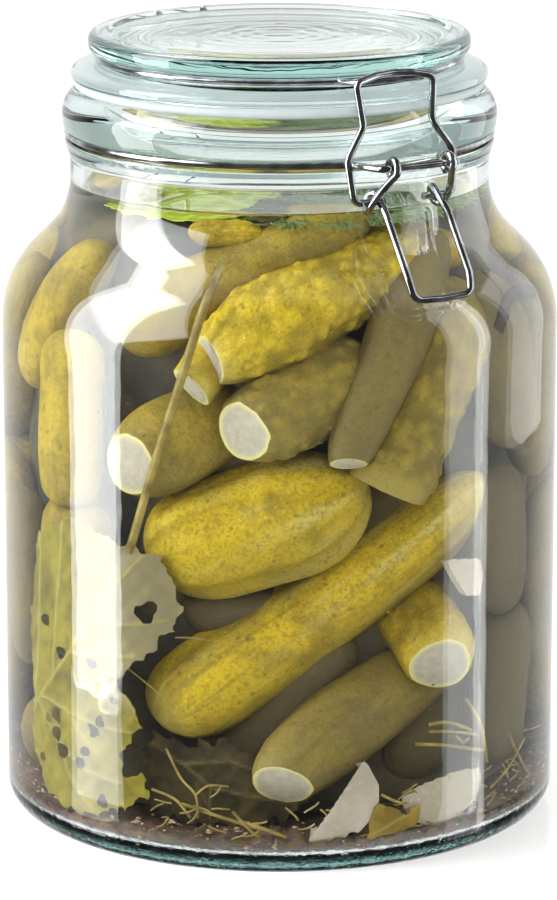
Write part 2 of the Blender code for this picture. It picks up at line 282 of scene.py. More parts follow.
def dress(piece, materials, body="jar", stands_for=()):
    """Gives a finished piece its materials, its body and the CAD nodes it stands for."""
    if materials:
        piece.data.materials.clear()
        for mat in materials:
            piece.data.materials.append(mat)
    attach(piece, body)
    if stands_for:
        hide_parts(*stands_for)
    return piece


# Making finishes

class Value:
    """A socket of a material's nodes, with sums on it written as Python ones."""

    def __init__(self, finish, socket):
        self.finish = finish
        self.socket = socket

    def maths(self, operation, other):
        return self.finish.node("ShaderNodeMath", {"operation": operation}, **{"0": self, "1": other})

    def __add__(self, other):
        return self.maths("ADD", other)

    def __mul__(self, other):
        return self.maths("MULTIPLY", other)

    __radd__ = __add__
    __rmul__ = __mul__

    def most(self, other):
        return self.maths("MAXIMUM", other)

    def between(self, start, end, to_start=0.0, to_end=1.0):
        """Runs from to_start to to_end as this value runs from start to end, with soft ends."""
        return self.finish.node(
            "ShaderNodeMapRange", {"interpolation_type": "SMOOTHSTEP"},
            Value=self, **{"From Min": start, "From Max": end, "To Min": to_start, "To Max": to_end})


class Finish:
    """One material, built from its Principled shader back."""

    def __init__(self, name, **constants):
        self.mat = bpy.data.materials.new(name)
        self.mat.use_nodes = True
        self.tree = self.mat.node_tree
        self.shader = self.tree.nodes["Principled BSDF"]
        self.output = self.tree.nodes["Material Output"]
        self.set(self.shader, **{key.replace("_", " "): value for key, value in constants.items()})

    def set(self, node, **values):
        for key, value in values.items():
            socket = node.inputs[int(key)] if key.isdigit() else node.inputs[key]
            if isinstance(value, Value):
                self.tree.links.new(value.socket, socket)
            elif isinstance(value, (tuple, list)) and len(socket.default_value) == 4 and len(value) == 3:
                socket.default_value = (*value, 1.0)
            else:
                socket.default_value = value

    def node(self, kind, options=None, output=0, **values):
        node = self.tree.nodes.new(kind)
        for key, value in (options or {}).items():
            setattr(node, key, value)
        self.set(node, **values)
        return Value(self, node.outputs[output])

    def object_place(self):
        return self.node("ShaderNodeTexCoord", output="Object")

    def attribute(self, name):
        return self.node("ShaderNodeAttribute", {"attribute_name": name}, output="Fac")

    def noise(self, place, scale, detail=3.0, roughness=0.55):
        return self.node(
            "ShaderNodeTexNoise", None, Vector=place, Scale=scale, Detail=detail, Roughness=roughness)

    def cells(self, place, scale, output="Distance"):
        return self.node("ShaderNodeTexVoronoi", {"feature": "F1"}, output=output, Vector=place, Scale=scale)

    def mix(self, share, first, second):
        node = self.tree.nodes.new("ShaderNodeMix")
        node.data_type = "RGBA"
        for socket, value in ((node.inputs[0], share), (node.inputs[6], first), (node.inputs[7], second)):
            if isinstance(value, Value):
                self.tree.links.new(value.socket, socket)
            elif isinstance(value, (int, float)):
                socket.default_value = value
            else:
                socket.default_value = (*value, 1.0)
        return Value(self, node.outputs[2])

    def bump(self, height, distance, strength=1.0):
        self.set(self.shader, Normal=self.node(
            "ShaderNodeBump", None, Height=height, Distance=distance, Strength=strength))

    def surface(self, colour, roughness):
        self.set(self.shader, **{"Base Color": colour, "Roughness": roughness})

    def let_light_by(self):
        """Lamps reach what is behind this clear material."""
        path = self.tree.nodes.new("ShaderNodeLightPath")
        shade = Value(self, path.outputs["Is Shadow Ray"]).most(Value(self, path.outputs["Is Diffuse Ray"]))
        clear = self.tree.nodes.new("ShaderNodeBsdfTransparent")
        mixer = self.tree.nodes.new("ShaderNodeMixShader")
        self.set(mixer, Fac=shade)
        self.tree.links.new(self.shader.outputs[0], mixer.inputs[1])
        self.tree.links.new(clear.outputs[0], mixer.inputs[2])
        self.tree.links.new(mixer.outputs[0], self.output.inputs["Surface"])

    def absorb(self, colour, density):
        node = self.tree.nodes.new("ShaderNodeVolumeAbsorption")
        node.inputs["Color"].default_value = (*colour, 1.0)
        node.inputs["Density"].default_value = density
        self.tree.links.new(node.outputs[0], self.output.inputs["Volume"])


finishes = {}


def finish(maker):
    """The material that a maker function makes, made once."""
    if maker.__name__ not in finishes:
        finishes[maker.__name__] = maker()
    return finishes[maker.__name__]


def clear(name, colour=None, density=0.0, tint=(1.0, 1.0, 1.0), ior=1.5):
    """Something to see through, its tint, and what it takes from white light for each metre."""
    made = Finish(name, Base_Color=tint, Roughness=0.0, IOR=ior, Transmission_Weight=1.0)
    if density:
        made.absorb(colour, density)
    made.let_light_by()
    return made


def jar_glass():
    """It waves a little, and is stippled at the foot."""
    made = clear("jar glass", (0.36, 0.76, 0.74), 9.5, tint=(0.985, 1.0, 0.995))
    place = made.object_place()
    foot = made.node("ShaderNodeSeparateXYZ", None, output="Z", Vector=place).between(9.0 * MM, 5.0 * MM)
    stipple = made.noise(place, 430.0, 2.0) * foot * 2.5
    made.bump(made.noise(place, 38.0, 2.0) + stipple, 0.35 * MM, 0.35)
    return made.mat


def lid_glass():
    made = clear("lid glass", (0.42, 0.80, 0.74), 12.0, tint=(0.975, 1.0, 0.995))
    made.bump(made.noise(made.object_place(), 60.0, 2.0), 0.2 * MM, 0.35)
    return made.mat


def brine():
    return clear("brine", (0.80, 0.66, 0.42), 2.2, ior=1.34).mat


def bubble():
    return clear("bubble", ior=1.12).mat


def bright_wire():
    made = Finish("bright wire", Metallic=1.0)
    place = made.object_place()
    drawn = made.noise(place, 900.0, 2.0)
    cloud = made.noise(place, 160.0, 3.0)
    colour = made.mix(cloud.between(0.35, 0.7), (0.26, 0.27, 0.28), (0.60, 0.61, 0.63))
    made.surface(colour, drawn * 0.10 + cloud * 0.12 + 0.04)
    made.bump(drawn, 0.03 * MM, 0.3)
    return made.mat


def pale_rubber():
    made = Finish("pale rubber", IOR=1.45)
    place = made.object_place()
    cloud = made.noise(place, 120.0, 3.0)
    made.surface(made.mix(cloud, (0.46, 0.51, 0.51), (0.56, 0.62, 0.62)), cloud * 0.2 + 0.35)
    made.bump(made.noise(place, 1500.0, 1.0), 0.04 * MM, 0.4)
    return made.mat


def gherkin_skin():
    colours = settings("food_colours")
    made = Finish("gherkin skin", IOR=1.40, Specular_IOR_Level=0.16)
    place = made.object_place()
    along = made.node("ShaderNodeUVMap", {"uv_map": "UVMap"})
    streak = made.noise(
        made.node("ShaderNodeMapping", None, Vector=along, Scale=(22.0, 2.2, 1.0)), 1.0, 3.0)
    blotch = made.noise(place, 62.0, 4.0, 0.6)
    fine = made.noise(place, 430.0, 3.0, 0.65)
    grain = made.noise(place, 1100.0, 2.0, 0.6)
    speck = made.cells(place, 430.0)
    dot = made.cells(place, 215.0)
    colour = made.mix(blotch.between(0.34, 0.58), tuple(colours.skin_dark), tuple(colours.skin))
    streaks = made.attribute("streaks")
    colour = made.mix(streak.between(0.46, 0.28) * streaks * 0.6, colour, (0.20, 0.15, 0.02))
    colour = made.mix(streak.between(0.54, 0.74) * streaks, colour, tuple(colours.skin_pale))
    colour = made.mix(made.attribute("band") * blotch.between(0.70, 0.40), colour, tuple(colours.skin_pale))
    colour = made.mix(fine.between(0.52, 0.66) * 0.34, colour, (0.22, 0.15, 0.012))
    colour = made.mix(grain.between(0.50, 0.62) * 0.42, colour, (0.24, 0.165, 0.010))
    colour = made.mix(speck.between(0.30, 0.12) * 0.30, colour, (0.80, 0.60, 0.07))
    colour = made.mix(dot.between(0.18, 0.09) * 0.6, colour, (0.18, 0.13, 0.015))
    for label, share, tint in (
        ("dip", 0.62, (0.12, 0.09, 0.015)),
        ("wart", 0.38, (0.70, 0.51, 0.035)),
        ("tip", 0.5, (0.60, 0.48, 0.12)),
        # Painted shade: the skin is darker where it faces down, away from the light
        ("under", 0.55, (0.17, 0.135, 0.035)),
        # Darkening of a whole gherkin: partly its own tone, partly painted shade for one deep in the heap
        ("tone", 0.95, (0.115, 0.092, 0.052)),
    ):
        colour = made.mix(made.attribute(label) * share, colour, tint)
    made.surface(colour, blotch * 0.2 + 0.38)
    made.bump(fine * 0.8 + blotch + speck * 0.5 + grain * 0.4, 0.5 * MM, 0.9)
    return made.mat


def cut_flesh():
    colours = settings("food_colours")
    made = Finish("cut flesh", IOR=1.4, Specular_IOR_Level=0.16)
    place = made.object_place()
    cell = made.noise(place, 420.0, 3.0, 0.65)
    seed = made.cells(place, 330.0)
    colour = made.mix(cell.between(0.35, 0.7), tuple(colours.flesh), (0.51, 0.465, 0.36))
    colour = made.mix(seed.between(0.22, 0.10) * 0.30, colour, (0.36, 0.30, 0.16))
    colour = made.mix(made.attribute("rind").between(0.78, 1.0) * 0.7, colour, (0.80, 0.72, 0.22))
    made.surface(colour, cell * 0.2 + 0.35)
    made.bump(cell, 0.3 * MM, 0.5)
    return made.mat


def clouded(name, scale, detail, dark, light, soft, rough, bump=None, **constants):
    """A rough finish of two colours in clouds. rough is the least roughness and how much the clouds add."""
    made = Finish(name, **constants)
    cloud = made.noise(made.object_place(), scale, detail)
    made.surface(made.mix(cloud.between(*soft), dark, light), cloud * rough[1] + rough[0])
    if bump:
        made.bump(cloud, bump[0] * MM, bump[1])
    return made.mat


# Painted shade: a dark, clouded filling that stands for the shade deep in the heap, between the gherkins
def painted_shade_core():
    return clouded(
        "painted shade core", 55.0, 4.0, (0.050, 0.042, 0.030), (0.13, 0.105, 0.055), (0.35, 0.65), (0.5, 0.3),
        (2.0, 0.6))


def dill_green():
    return clouded(
        "dill", 210.0, 3.0, tuple(settings("food_colours").dill), (0.20, 0.25, 0.07), (0.3, 0.7), (0.35, 0.2))


def dill_stem():
    return clouded(
        "dill stem", 150.0, 4.0, (0.16, 0.11, 0.02), (0.38, 0.28, 0.06), (0.3, 0.7), (0.3, 0.2), (0.3, 0.4))


def twig_bark():
    return clouded(
        "twig", 260.0, 4.0, (0.018, 0.012, 0.008), (0.07, 0.045, 0.022), (0.3, 0.7), (0.5, 0.3), (0.4, 0.5),
        Specular_IOR_Level=0.2)


def garlic_skin():
    colours = settings("food_colours")
    made = Finish("garlic", IOR=1.42)
    place = made.object_place()
    cloud = made.noise(place, 75.0, 4.0)
    vein = made.noise(place, 620.0, 2.0)
    colour = made.mix(cloud.between(0.36, 0.64), tuple(colours.garlic), (0.53, 0.46, 0.36))
    colour = made.mix(made.noise(place, 34.0, 2.0).between(0.42, 0.66) * 0.55, colour, (0.30, 0.25, 0.15))
    colour = made.mix(vein.between(0.55, 0.75) * 0.3, colour, (0.70, 0.64, 0.40))
    made.surface(colour, cloud * 0.2 + 0.25)
    made.bump(vein * 0.3 + cloud, 0.9 * MM, 0.6)
    return made.mat


def tinted_leaf(name, main, second, spot, vein_colour):
    """A leaf's finish: two main colours in clouds, dark spots and paler veins."""
    made = Finish(name, IOR=1.4, Specular_IOR_Level=0.2)
    place = made.object_place()
    cloud = made.noise(place, 85.0, 5.0, 0.6)
    grain = made.noise(place, 380.0, 3.0, 0.6)
    vein = made.attribute("vein")
    colour = made.mix(cloud.between(0.35, 0.65), main, second)
    colour = made.mix(cloud.between(0.62, 0.72) * 0.6, colour, spot)
    colour = made.mix(grain.between(0.5, 0.7) * 0.3, colour, spot)
    # Painted shade: greyer where the leaf bends away from the glass
    colour = made.mix(made.attribute("faded") * 0.75, colour, (0.30, 0.255, 0.16))
    colour = made.mix(vein * 0.8, colour, vein_colour)
    made.surface(colour, cloud * 0.2 + 0.4)
    made.bump(cloud + grain * 0.4 + vein * 0.6, 0.5 * MM, 0.6)
    return made.mat


def leaf_skin():
    colours = settings("food_colours")
    return tinted_leaf(
        "leaf", tuple(colours.leaf), (0.30, 0.245, 0.025), (0.075, 0.055, 0.015), tuple(colours.vein))


def dark_leaf_skin():
    return tinted_leaf(
        "dark leaf", (0.030, 0.025, 0.012), (0.085, 0.062, 0.020), (0.012, 0.010, 0.008), (0.15, 0.12, 0.035))


def brown_leaf_skin():
    return tinted_leaf(
        "brown leaf", (0.20, 0.13, 0.02), (0.32, 0.21, 0.03), (0.07, 0.045, 0.01), (0.38, 0.28, 0.06))


def green_leaf_skin():
    return tinted_leaf(
        "green leaf", (0.36, 0.47, 0.03), (0.60, 0.64, 0.05), (0.12, 0.20, 0.02), (0.72, 0.76, 0.20))


def settled_spice():
    made = Finish("settled spice", Specular_IOR_Level=0.15)
    place = made.object_place()
    cloud = made.noise(place, 60.0, 4.0)
    grain = made.noise(place, 330.0, 4.0, 0.7)
    crumb = made.cells(place, 520.0, output="Color")
    colour = made.mix(cloud.between(0.35, 0.65), (0.09, 0.05, 0.028), (0.21, 0.125, 0.07))
    colour = made.mix(grain.between(0.48, 0.60) * 0.8, colour, (0.05, 0.03, 0.02))
    colour = made.mix(grain.between(0.60, 0.70), colour, (0.58, 0.43, 0.28))
    made.surface(made.mix(0.05, colour, crumb), grain * 0.3 + 0.45)
    made.bump(grain, 0.8 * MM, 0.8)
    return made.mat


def settled_bit():
    made = Finish("settled bits", Specular_IOR_Level=0.2)
    place = made.object_place()
    spread = made.noise(place, 140.0, 2.0)
    colour = made.mix(spread.between(0.40, 0.50), (0.30, 0.17, 0.08), (0.62, 0.44, 0.26))
    colour = made.mix(spread.between(0.54, 0.60), colour, (0.10, 0.055, 0.03))
    made.surface(colour, spread * 0.2 + 0.35)
    made.bump(spread, 0.2 * MM, 0.3)
    return made.mat


# The jar's glass

NECK_BEND_R = 22.0
SHOULDER_R = 30.0
SHOULDER_SLOPE = 45.0
HEEL_R = 7.0
MOUTH_R = 48.6
RIM_R = 58.0
RING_R = 60.6
PANEL_Z = 171.0
PANEL_HALF_HEIGHT = 12.6
PANEL_FOOT_TOP = [158.0, 183.0]     # heights, and half its width at each
PANEL_HALF_WIDTHS = [9.6, 12.0]
PANEL_ROUND = 2.5
PANEL_RIDGE = 0.26
PANEL_RIDGE_WIDTH = 0.75


def shoulder_line(inset, steps=14):
    """The neck's bend and the shoulder's, top to bottom, for a wall this far inside the outer one."""
    jar = settings("jar_sizes")
    slope = math.radians(SHOULDER_SLOPE)
    radius = BODY_R - inset
    bend_out = SHOULDER_R - inset
    bend_in = NECK_BEND_R + inset
    neck = jar.neck / MM - inset
    convex = arc((radius - bend_out, jar.body_top / MM), bend_out, SHOULDER_SLOPE, 0.0, steps)
    run = (convex[0][0] - (neck + bend_in - bend_in * math.cos(slope))) / math.sin(slope)
    centre = (neck + bend_in, convex[0][1] + run * math.cos(slope) + bend_in * math.sin(slope))
    concave = arc(centre, bend_in, 180.0, 180.0 + SHOULDER_SLOPE, steps)
    return concave + convex


def outer_line():
    """The jar's outside, from the rim down to the heel."""
    jar = settings("jar_sizes")
    neck = jar.neck / MM
    ring = NECK_RING_Z
    collar = eased([
        (RIM_R, RIM_TOP), (59.3, RIM_TOP - 0.5), (60.6, 208.6), (61.7, 206.6), (62.2, 203.8),
        (61.9, ring + 1.9), (61.2, ring + 1.5), (59.35, ring + 0.9), (59.2, ring - 0.9), (61.0, ring - 1.6),
        (61.3, ring - 2.4), (60.8, 193.6), (neck + 0.15, 191.6), (neck, 189.6),
    ])
    sides = [(BODY_R, height) for height in np.linspace(jar.body_top / MM - 6.0, HEEL_R + 6.0, 12)]
    heel = arc((BODY_R - HEEL_R, HEEL_R), HEEL_R, 0.0, -90.0, 12)
    return collar + shoulder_line(0.0) + sides + heel


def glass_reach(heights):
    """The jar's inner radius at each height, in millimetres."""
    wall = sorted(reversed(inner_line()[:-2]), key=lambda point: point[1])
    return np.interp(heights, [z for _, z in wall], [r for r, _ in wall])


def inner_line(inset=0.0):
    """The jar's inside, from the neck down to the floor's middle. An inset goes into the wall."""
    jar = settings("jar_sizes")
    wall = jar.wall / MM - inset
    floor = jar.floor / MM - inset
    radius = BODY_R - wall
    sides = [(radius, height) for height in np.linspace(jar.body_top / MM - 6.0, floor + 12.0, 12)]
    corner = arc((radius - 7.0, floor + 7.0), 7.0, 0.0, -82.0, 8)
    middle = [(50.0, floor + 0.3), (25.0, floor + 1.2), (0.0, floor + 1.8)]
    return shoulder_line(wall) + sides + corner + middle


class JAR_OT_glass(bpy.types.Operator):
    """Turns the jar's glass, with its moulded panel and stippled base"""
    bl_idname = "clip_jar.glass"
    bl_label = "Jar glass"

    def execute(self, context):
        jar = settings("jar_sizes")
        base = [(BODY_R - HEEL_R - 6.0, 0.1), (BODY_R - HEEL_R - 9.0, 1.0), (40.0, 1.6), (0.0, 2.0)]
        throat = jar.neck / MM - jar.wall / MM
        mouth = eased([
            (throat, 190.0), (throat - 0.2, 195.0), (50.2, 202.0), (MOUTH_R, 205.0),
            (MOUTH_R, RIM_TOP - 1.6), (MOUTH_R + 0.5, RIM_TOP - 0.4), (MOUTH_R + 1.8, RIM_TOP),
        ])
        outline = list(reversed(inner_line())) + mouth + outer_line() + base
        piece = turned("jar_glass", outline, jar.turn_steps)
        self.stipple(piece)
        self.raise_panel(piece)
        dress(piece, [finish(jar_glass)], stands_for=["jar_body"])
        return {"FINISHED"}

    def stipple(self, piece):
        """Small hollows round the foot."""
        points = get_points(piece)
        reach = np.hypot(points[:, 0], points[:, 1]) / MM
        turn = np.arctan2(points[:, 1], points[:, 0])
        at_foot = (points[:, 2] < 0.6 * MM) & (reach > 66.0) & (reach < 73.8)
        hollow = 0.5 + 0.5 * np.sin(turn * 96.0 + reach * 1.7)
        points[at_foot, 2] += (hollow[at_foot] * 0.55) * MM
        put_points(piece, points)

    def raise_panel(self, piece):
        """The moulded panel on the shoulder, behind the lever: a finer mesh there, and a ridge round it."""
        mesh = piece.data
        _, near = self.panel_area(piece, 0.6, 17.0, 152.0, 190.0)
        only(piece)
        bpy.ops.object.mode_set(mode="EDIT")
        bpy.ops.mesh.select_mode(type="FACE")
        bpy.ops.mesh.select_all(action="DESELECT")
        bpy.ops.object.mode_set(mode="OBJECT")
        mesh.polygons.foreach_set("select", [all(near[v] for v in face.vertices) for face in mesh.polygons])
        bpy.ops.object.mode_set(mode="EDIT")
        bpy.ops.mesh.subdivide(number_cuts=5)
        bpy.ops.object.mode_set(mode="OBJECT")
        true_reach, near = self.panel_area(piece, 0.7, 18.0, 150.0, 192.0)
        points = get_points(piece)
        height = points[:, 2] / MM
        across = np.abs(points[:, 0]) / MM - np.interp(height, PANEL_FOOT_TOP, PANEL_HALF_WIDTHS)
        along = np.abs(height - PANEL_Z) - PANEL_HALF_HEIGHT
        corner = np.hypot(np.maximum(across + PANEL_ROUND, 0.0), np.maximum(along + PANEL_ROUND, 0.0))
        edge = np.maximum(np.minimum(np.maximum(across, along), 0.0), corner - PANEL_ROUND)
        ridge = PANEL_RIDGE * np.exp(-(edge / PANEL_RIDGE_WIDTH) ** 2)
        reach = np.hypot(points[:, 0], points[:, 1]) / MM
        points[:, :2] *= np.where(near, (true_reach + ridge) / np.maximum(reach, 1.0), 1.0)[:, None]
        put_points(piece, points)

    def panel_area(self, piece, spare, half_width, bottom, top):
        """The outside's radius at each point's height, and which points lie on it, in an area by the clip."""
        line = outer_line()[::-1]
        points = get_points(piece)
        height = points[:, 2] / MM
        true_reach = np.interp(height, [z for _, z in line], [r for r, _ in line])
        outside = np.abs(np.hypot(points[:, 0], points[:, 1]) / MM - true_reach) < spare
        at_clip = (points[:, 1] < 0) & (np.abs(points[:, 0]) < half_width * MM)
        return true_reach, outside & at_clip & (height > bottom) & (height < top)


class JAR_OT_lid(bpy.types.Operator):
    """Turns the glass lid, with fine rings on its top"""
    bl_idname = "clip_jar.lid"
    bl_label = "Lid"

    def execute(self, context):
        jar = settings("jar_sizes")
        top = LID_TOP
        rings = [(0.0, top - 0.9)]
        for reach in np.arange(4.0, 47.0, 1.4):
            rings.append((reach, top - 0.85 + 0.035 * math.cos(reach * 1.12)))
        rim = eased([(47.4, top - 0.7), (48.8, top - 0.1), (50.0, top), (52.0, top)], 3)
        edge = arc((52.3, top - 2.2), 2.2, 88.0, 0.0, 6) + arc((52.7, 222.9), 1.8, 0.0, -90.0, 6)
        groove = [(50.9, 221.1), (50.7, 220.8), (50.7, 218.95), (50.9, 218.65)]
        flange = eased([
            (53.4, 218.6), (55.2, 218.2), (56.9, 217.6), (58.5, 216.9), (59.35, 216.0), (FLANGE_R, 215.0),
            (FLANGE_R, 214.5), (59.2, 213.95), (58.7, 213.8),
        ], 4)
        under = eased([
            (MOUTH_R - 1.2, 213.8), (MOUTH_R - 1.5, 211.0), (MOUTH_R - 1.8, 207.9), (MOUTH_R - 2.6, 206.9),
            (MOUTH_R - 3.6, 206.8), (MOUTH_R - 5.2, 208.0), (MOUTH_R - 6.2, 212.0), (MOUTH_R - 7.0, 216.0),
            (MOUTH_R - 10.0, 219.0), (MOUTH_R - 16.0, 220.0), (20.0, 220.3),
        ], 4)
        outline = rings + rim + edge + groove + flange + under + [(0.0, 220.4)]
        piece = turned("lid", outline, jar.turn_steps)
        dress(piece, [finish(lid_glass)], stands_for=["lid_glass"])
        return {"FINISHED"}


class JAR_OT_seal(bpy.types.Operator):
    """Turns the rubber seal between the lid and the rim"""
    bl_idname = "clip_jar.seal"
    bl_label = "Seal"

    def execute(self, context):
        low_z = RIM_TOP - 0.05
        high_z = high("seal_ring").z / MM + 0.40
        reach = high("seal_ring").x / MM
        middle = (low_z + high_z) / 2
        inside = MOUTH_R + 0.8
        outline = [(inside, middle), (inside + 0.4, high_z), (reach - 2.0, high_z)]
        outline += arc((reach - 1.2, middle), 1.2, 80.0, -80.0, 8)
        outline += [(reach - 2.0, low_z), (inside + 0.4, low_z)]
        piece = turned("seal", outline, settings("jar_sizes").turn_steps)
        dress(piece, [finish(pale_rubber)], stands_for=["seal_ring"])
        return {"FINISHED"}


# The wires, as in the frame: distances out from the axis towards the clip, and up from the base

PIVOT_OUT = 73.0
PIVOT_Z = 198.8
PIVOT_HALF = 8.8
KNEE_OUT = 64.6
KNEE_Z = 188.4
COIL_FROM = 12.3
COIL_TO = 9.3
HINGE_OUT = 67.0
HINGE_HALF = 8.0
LID_RING_R = 52.0
LID_RING_Z = 219.9
LID_BAR_OUT = 57.9
LID_BAR_Z = 220.3
LID_BAR_HALF = 10.6


def front(x, out, z):
    return Vector((x, -out, z))


def both_sides(left):
    """A path that ends on the clip's middle, and then its mirror image back out."""
    return left + [Vector((-p.x, p.y, p.z)) for p in reversed(left[:-1])]


def loop(x_from, x_to, out, z, radius, start, end, steps=30):
    """An arc round an axis along X at (out, z), drifting in x."""
    points = []
    for share in np.linspace(0.0, 1.0, steps + 1):
        angle = math.radians(start + (end - start) * share)
        drift = x_from + (x_to - x_from) * share
        points.append(front(drift, out + radius * math.cos(angle), z + radius * math.sin(angle)))
    return points


def ring_side(radius, z, start, end, steps=60):
    """Points round the left side, -X, from one turn off the clip to another."""
    return [
        Vector((-radius * math.sin(angle), -radius * math.cos(angle), z))
        for angle in np.radians(np.linspace(start, end, steps + 1))
    ]


class JAR_OT_ring_wires(bpy.types.Operator):
    """Bends the ring wires round the neck and round the lid"""
    bl_idname = "clip_jar.ring_wires"
    bl_label = "Ring wires"

    def execute(self, context):
        clip = settings("clip_sizes")
        dress(self.neck_ring(clip), [finish(bright_wire)], stands_for=["neck_wire"])
        dress(self.lid_ring(clip), [finish(bright_wire)], stands_for=["lid_wire"])
        return {"FINISHED"}

    def neck_ring(self, clip):
        z = NECK_RING_Z
        at_front = rounded([
            (front(0.0, PIVOT_OUT, PIVOT_Z), 0.0),
            (front(-PIVOT_HALF - 3.4, PIVOT_OUT, PIVOT_Z), 1.6),
            (front(-PIVOT_HALF - 5.2, 61.0, z), 1.8),
            (ring_side(RING_R, z, 20.0, 21.0, 1)[0], 0.0),
        ])
        at_back = rounded([
            (ring_side(RING_R, z, 159.0, 160.0, 1)[1], 0.0),
            (front(-HINGE_HALF - 5.6, -60.2, z), 1.8),
            (front(-HINGE_HALF - 3.4, -HINGE_OUT, z), 1.6),
            (front(0.0, -HINGE_OUT, z), 0.0),
        ])
        left = at_front + ring_side(RING_R, z, 22.0, 158.0, 90) + at_back
        right = [Vector((-p.x, p.y, p.z)) for p in reversed(left)]
        return wire("neck_ring", left[1:] + right[1:-1] + [left[0]], clip.ring_wire, closed=True)

    def lid_ring(self, clip):
        z = LID_RING_Z
        clear = (clip.ring_wire + clip.play + clip.lid_wire) / MM
        at_front = rounded([
            (front(0.0, LID_BAR_OUT, LID_BAR_Z), 0.0),
            (front(-LID_BAR_HALF, LID_BAR_OUT, LID_BAR_Z), 1.6),
            (front(-LID_BAR_HALF - 1.6, 50.6, z), 1.4),
            (ring_side(LID_RING_R, z, 18.0, 19.0, 1)[0], 0.0),
        ])
        eye = loop(-HINGE_HALF, -HINGE_HALF, -HINGE_OUT, NECK_RING_Z, clear, 180.0, 440.0)
        at_back = rounded([
            (ring_side(LID_RING_R, z, 165.0, 166.0, 1)[0], 0.0),
            (front(-HINGE_HALF, -51.4, z), 1.4),
            (front(-HINGE_HALF, -HINGE_OUT - clear, z), 3.0),
            (eye[0], 0.0),
        ])
        left = at_front + ring_side(LID_RING_R, z, 20.0, 164.0, 90) + at_back + eye[1:]
        right = [Vector((-p.x, p.y, p.z)) for p in left]
        return wire("lid_ring", list(reversed(left)) + right[1:], clip.lid_wire)


class JAR_OT_clip(bpy.types.Operator):
    """Bends the lever and the bail of the clip"""
    bl_idname = "clip_jar.clip"
    bl_label = "Clip"

    def execute(self, context):
        clip = settings("clip_sizes")
        dress(self.lever(clip), [finish(bright_wire)], body="lever", stands_for=["lever"])
        dress(self.bail(clip), [finish(bright_wire)], body="bail", stands_for=["bail"])
        return {"FINISHED"}

    def lever(self, clip):
        eye_r = (clip.ring_wire + clip.play + clip.clip_wire) / MM
        coil_r = (2 * clip.clip_wire + clip.play) / MM
        lean = math.degrees(math.atan2(KNEE_OUT - PIVOT_OUT, PIVOT_Z - KNEE_Z))
        eye = loop(-PIVOT_HALF, -PIVOT_HALF - 0.3, PIVOT_OUT, PIVOT_Z, eye_r, 250.0, lean)
        coil = loop(-COIL_FROM, -COIL_TO, KNEE_OUT, KNEE_Z, coil_r, lean, 61.0 - 360.0)
        arm = []
        for share in np.linspace(0.0, 1.0, 12)[1:-1]:
            point = eye[-1].lerp(coil[0], share)
            point.x = eye[-1].x + (coil[0].x - eye[-1].x) * math.sin(share * math.pi / 2)
            arm.append(point)
        handle = rounded([
            (coil[-1], 0.0),
            (front(-9.9, 71.9, 184.9), 6.0),
            (front(-9.9, 82.6, 169.6), 8.0),
            (front(-9.2, 84.5, 164.4), 2.6),
            (front(0.0, 84.5, 163.9), 0.0),
        ])
        return wire("clip_lever", both_sides(eye + arm + coil + handle[1:]), clip.clip_wire)

    def bail(self, clip):
        left = rounded([
            (front(-6.4, KNEE_OUT, KNEE_Z), 0.0),
            (front(-16.0, KNEE_OUT, KNEE_Z), 2.2),
            (front(-17.2, 63.0, 200.4), 4.0),
            (front(-11.2, 61.6, 208.8), 4.0),
            (front(-12.6, 60.0, 220.8), 2.0),
            (front(-6.0, 59.4, 222.2), 8.0),
            (front(0.0, 59.0, 222.5), 0.0),
        ])
        return wire("clip_bail", both_sides(left), clip.clip_wire)


# What is in the jar

FACE_TURN = -31.8
CORE_TOP = 176.0
HOLLOW = 0.20           # how much the core is drawn in behind the front gherkins, and where
HOLLOW_TURN = 10.0
HOLLOW_WIDE = 40.0


def inside(turn, height, reach):
    """A place in the jar, in metres, from a turn in degrees and a height and a reach in millimetres."""
    angle = math.radians(FACE_TURN + turn)
    return Vector((reach * math.sin(angle), -reach * math.cos(angle), height)) * MM


def kept_inside(points, spare=0.5):
    """Points in metres, drawn in where they would be in the glass or over the brine."""
    jar = settings("jar_sizes")
    kept = np.array(points, dtype=np.float64)
    kept[:, 2] = np.clip(kept[:, 2], (jar.floor / MM + 2.2) * MM, (jar.brine_top / MM - spare) * MM)
    room = glass_reach(kept[:, 2] / MM) - spare
    reach = np.hypot(kept[:, 0], kept[:, 1]) / MM
    kept[:, :2] *= np.minimum(1.0, room / np.maximum(reach, 0.01))[:, None]
    return kept


def camera_sides():
    """The level directions to the camera's right and towards the camera."""
    azimuth = settings("studio").azimuth
    return (
        Vector((math.cos(azimuth), math.sin(azimuth), 0.0)),
        Vector((math.sin(azimuth), -math.cos(azimuth), 0.0)),
    )
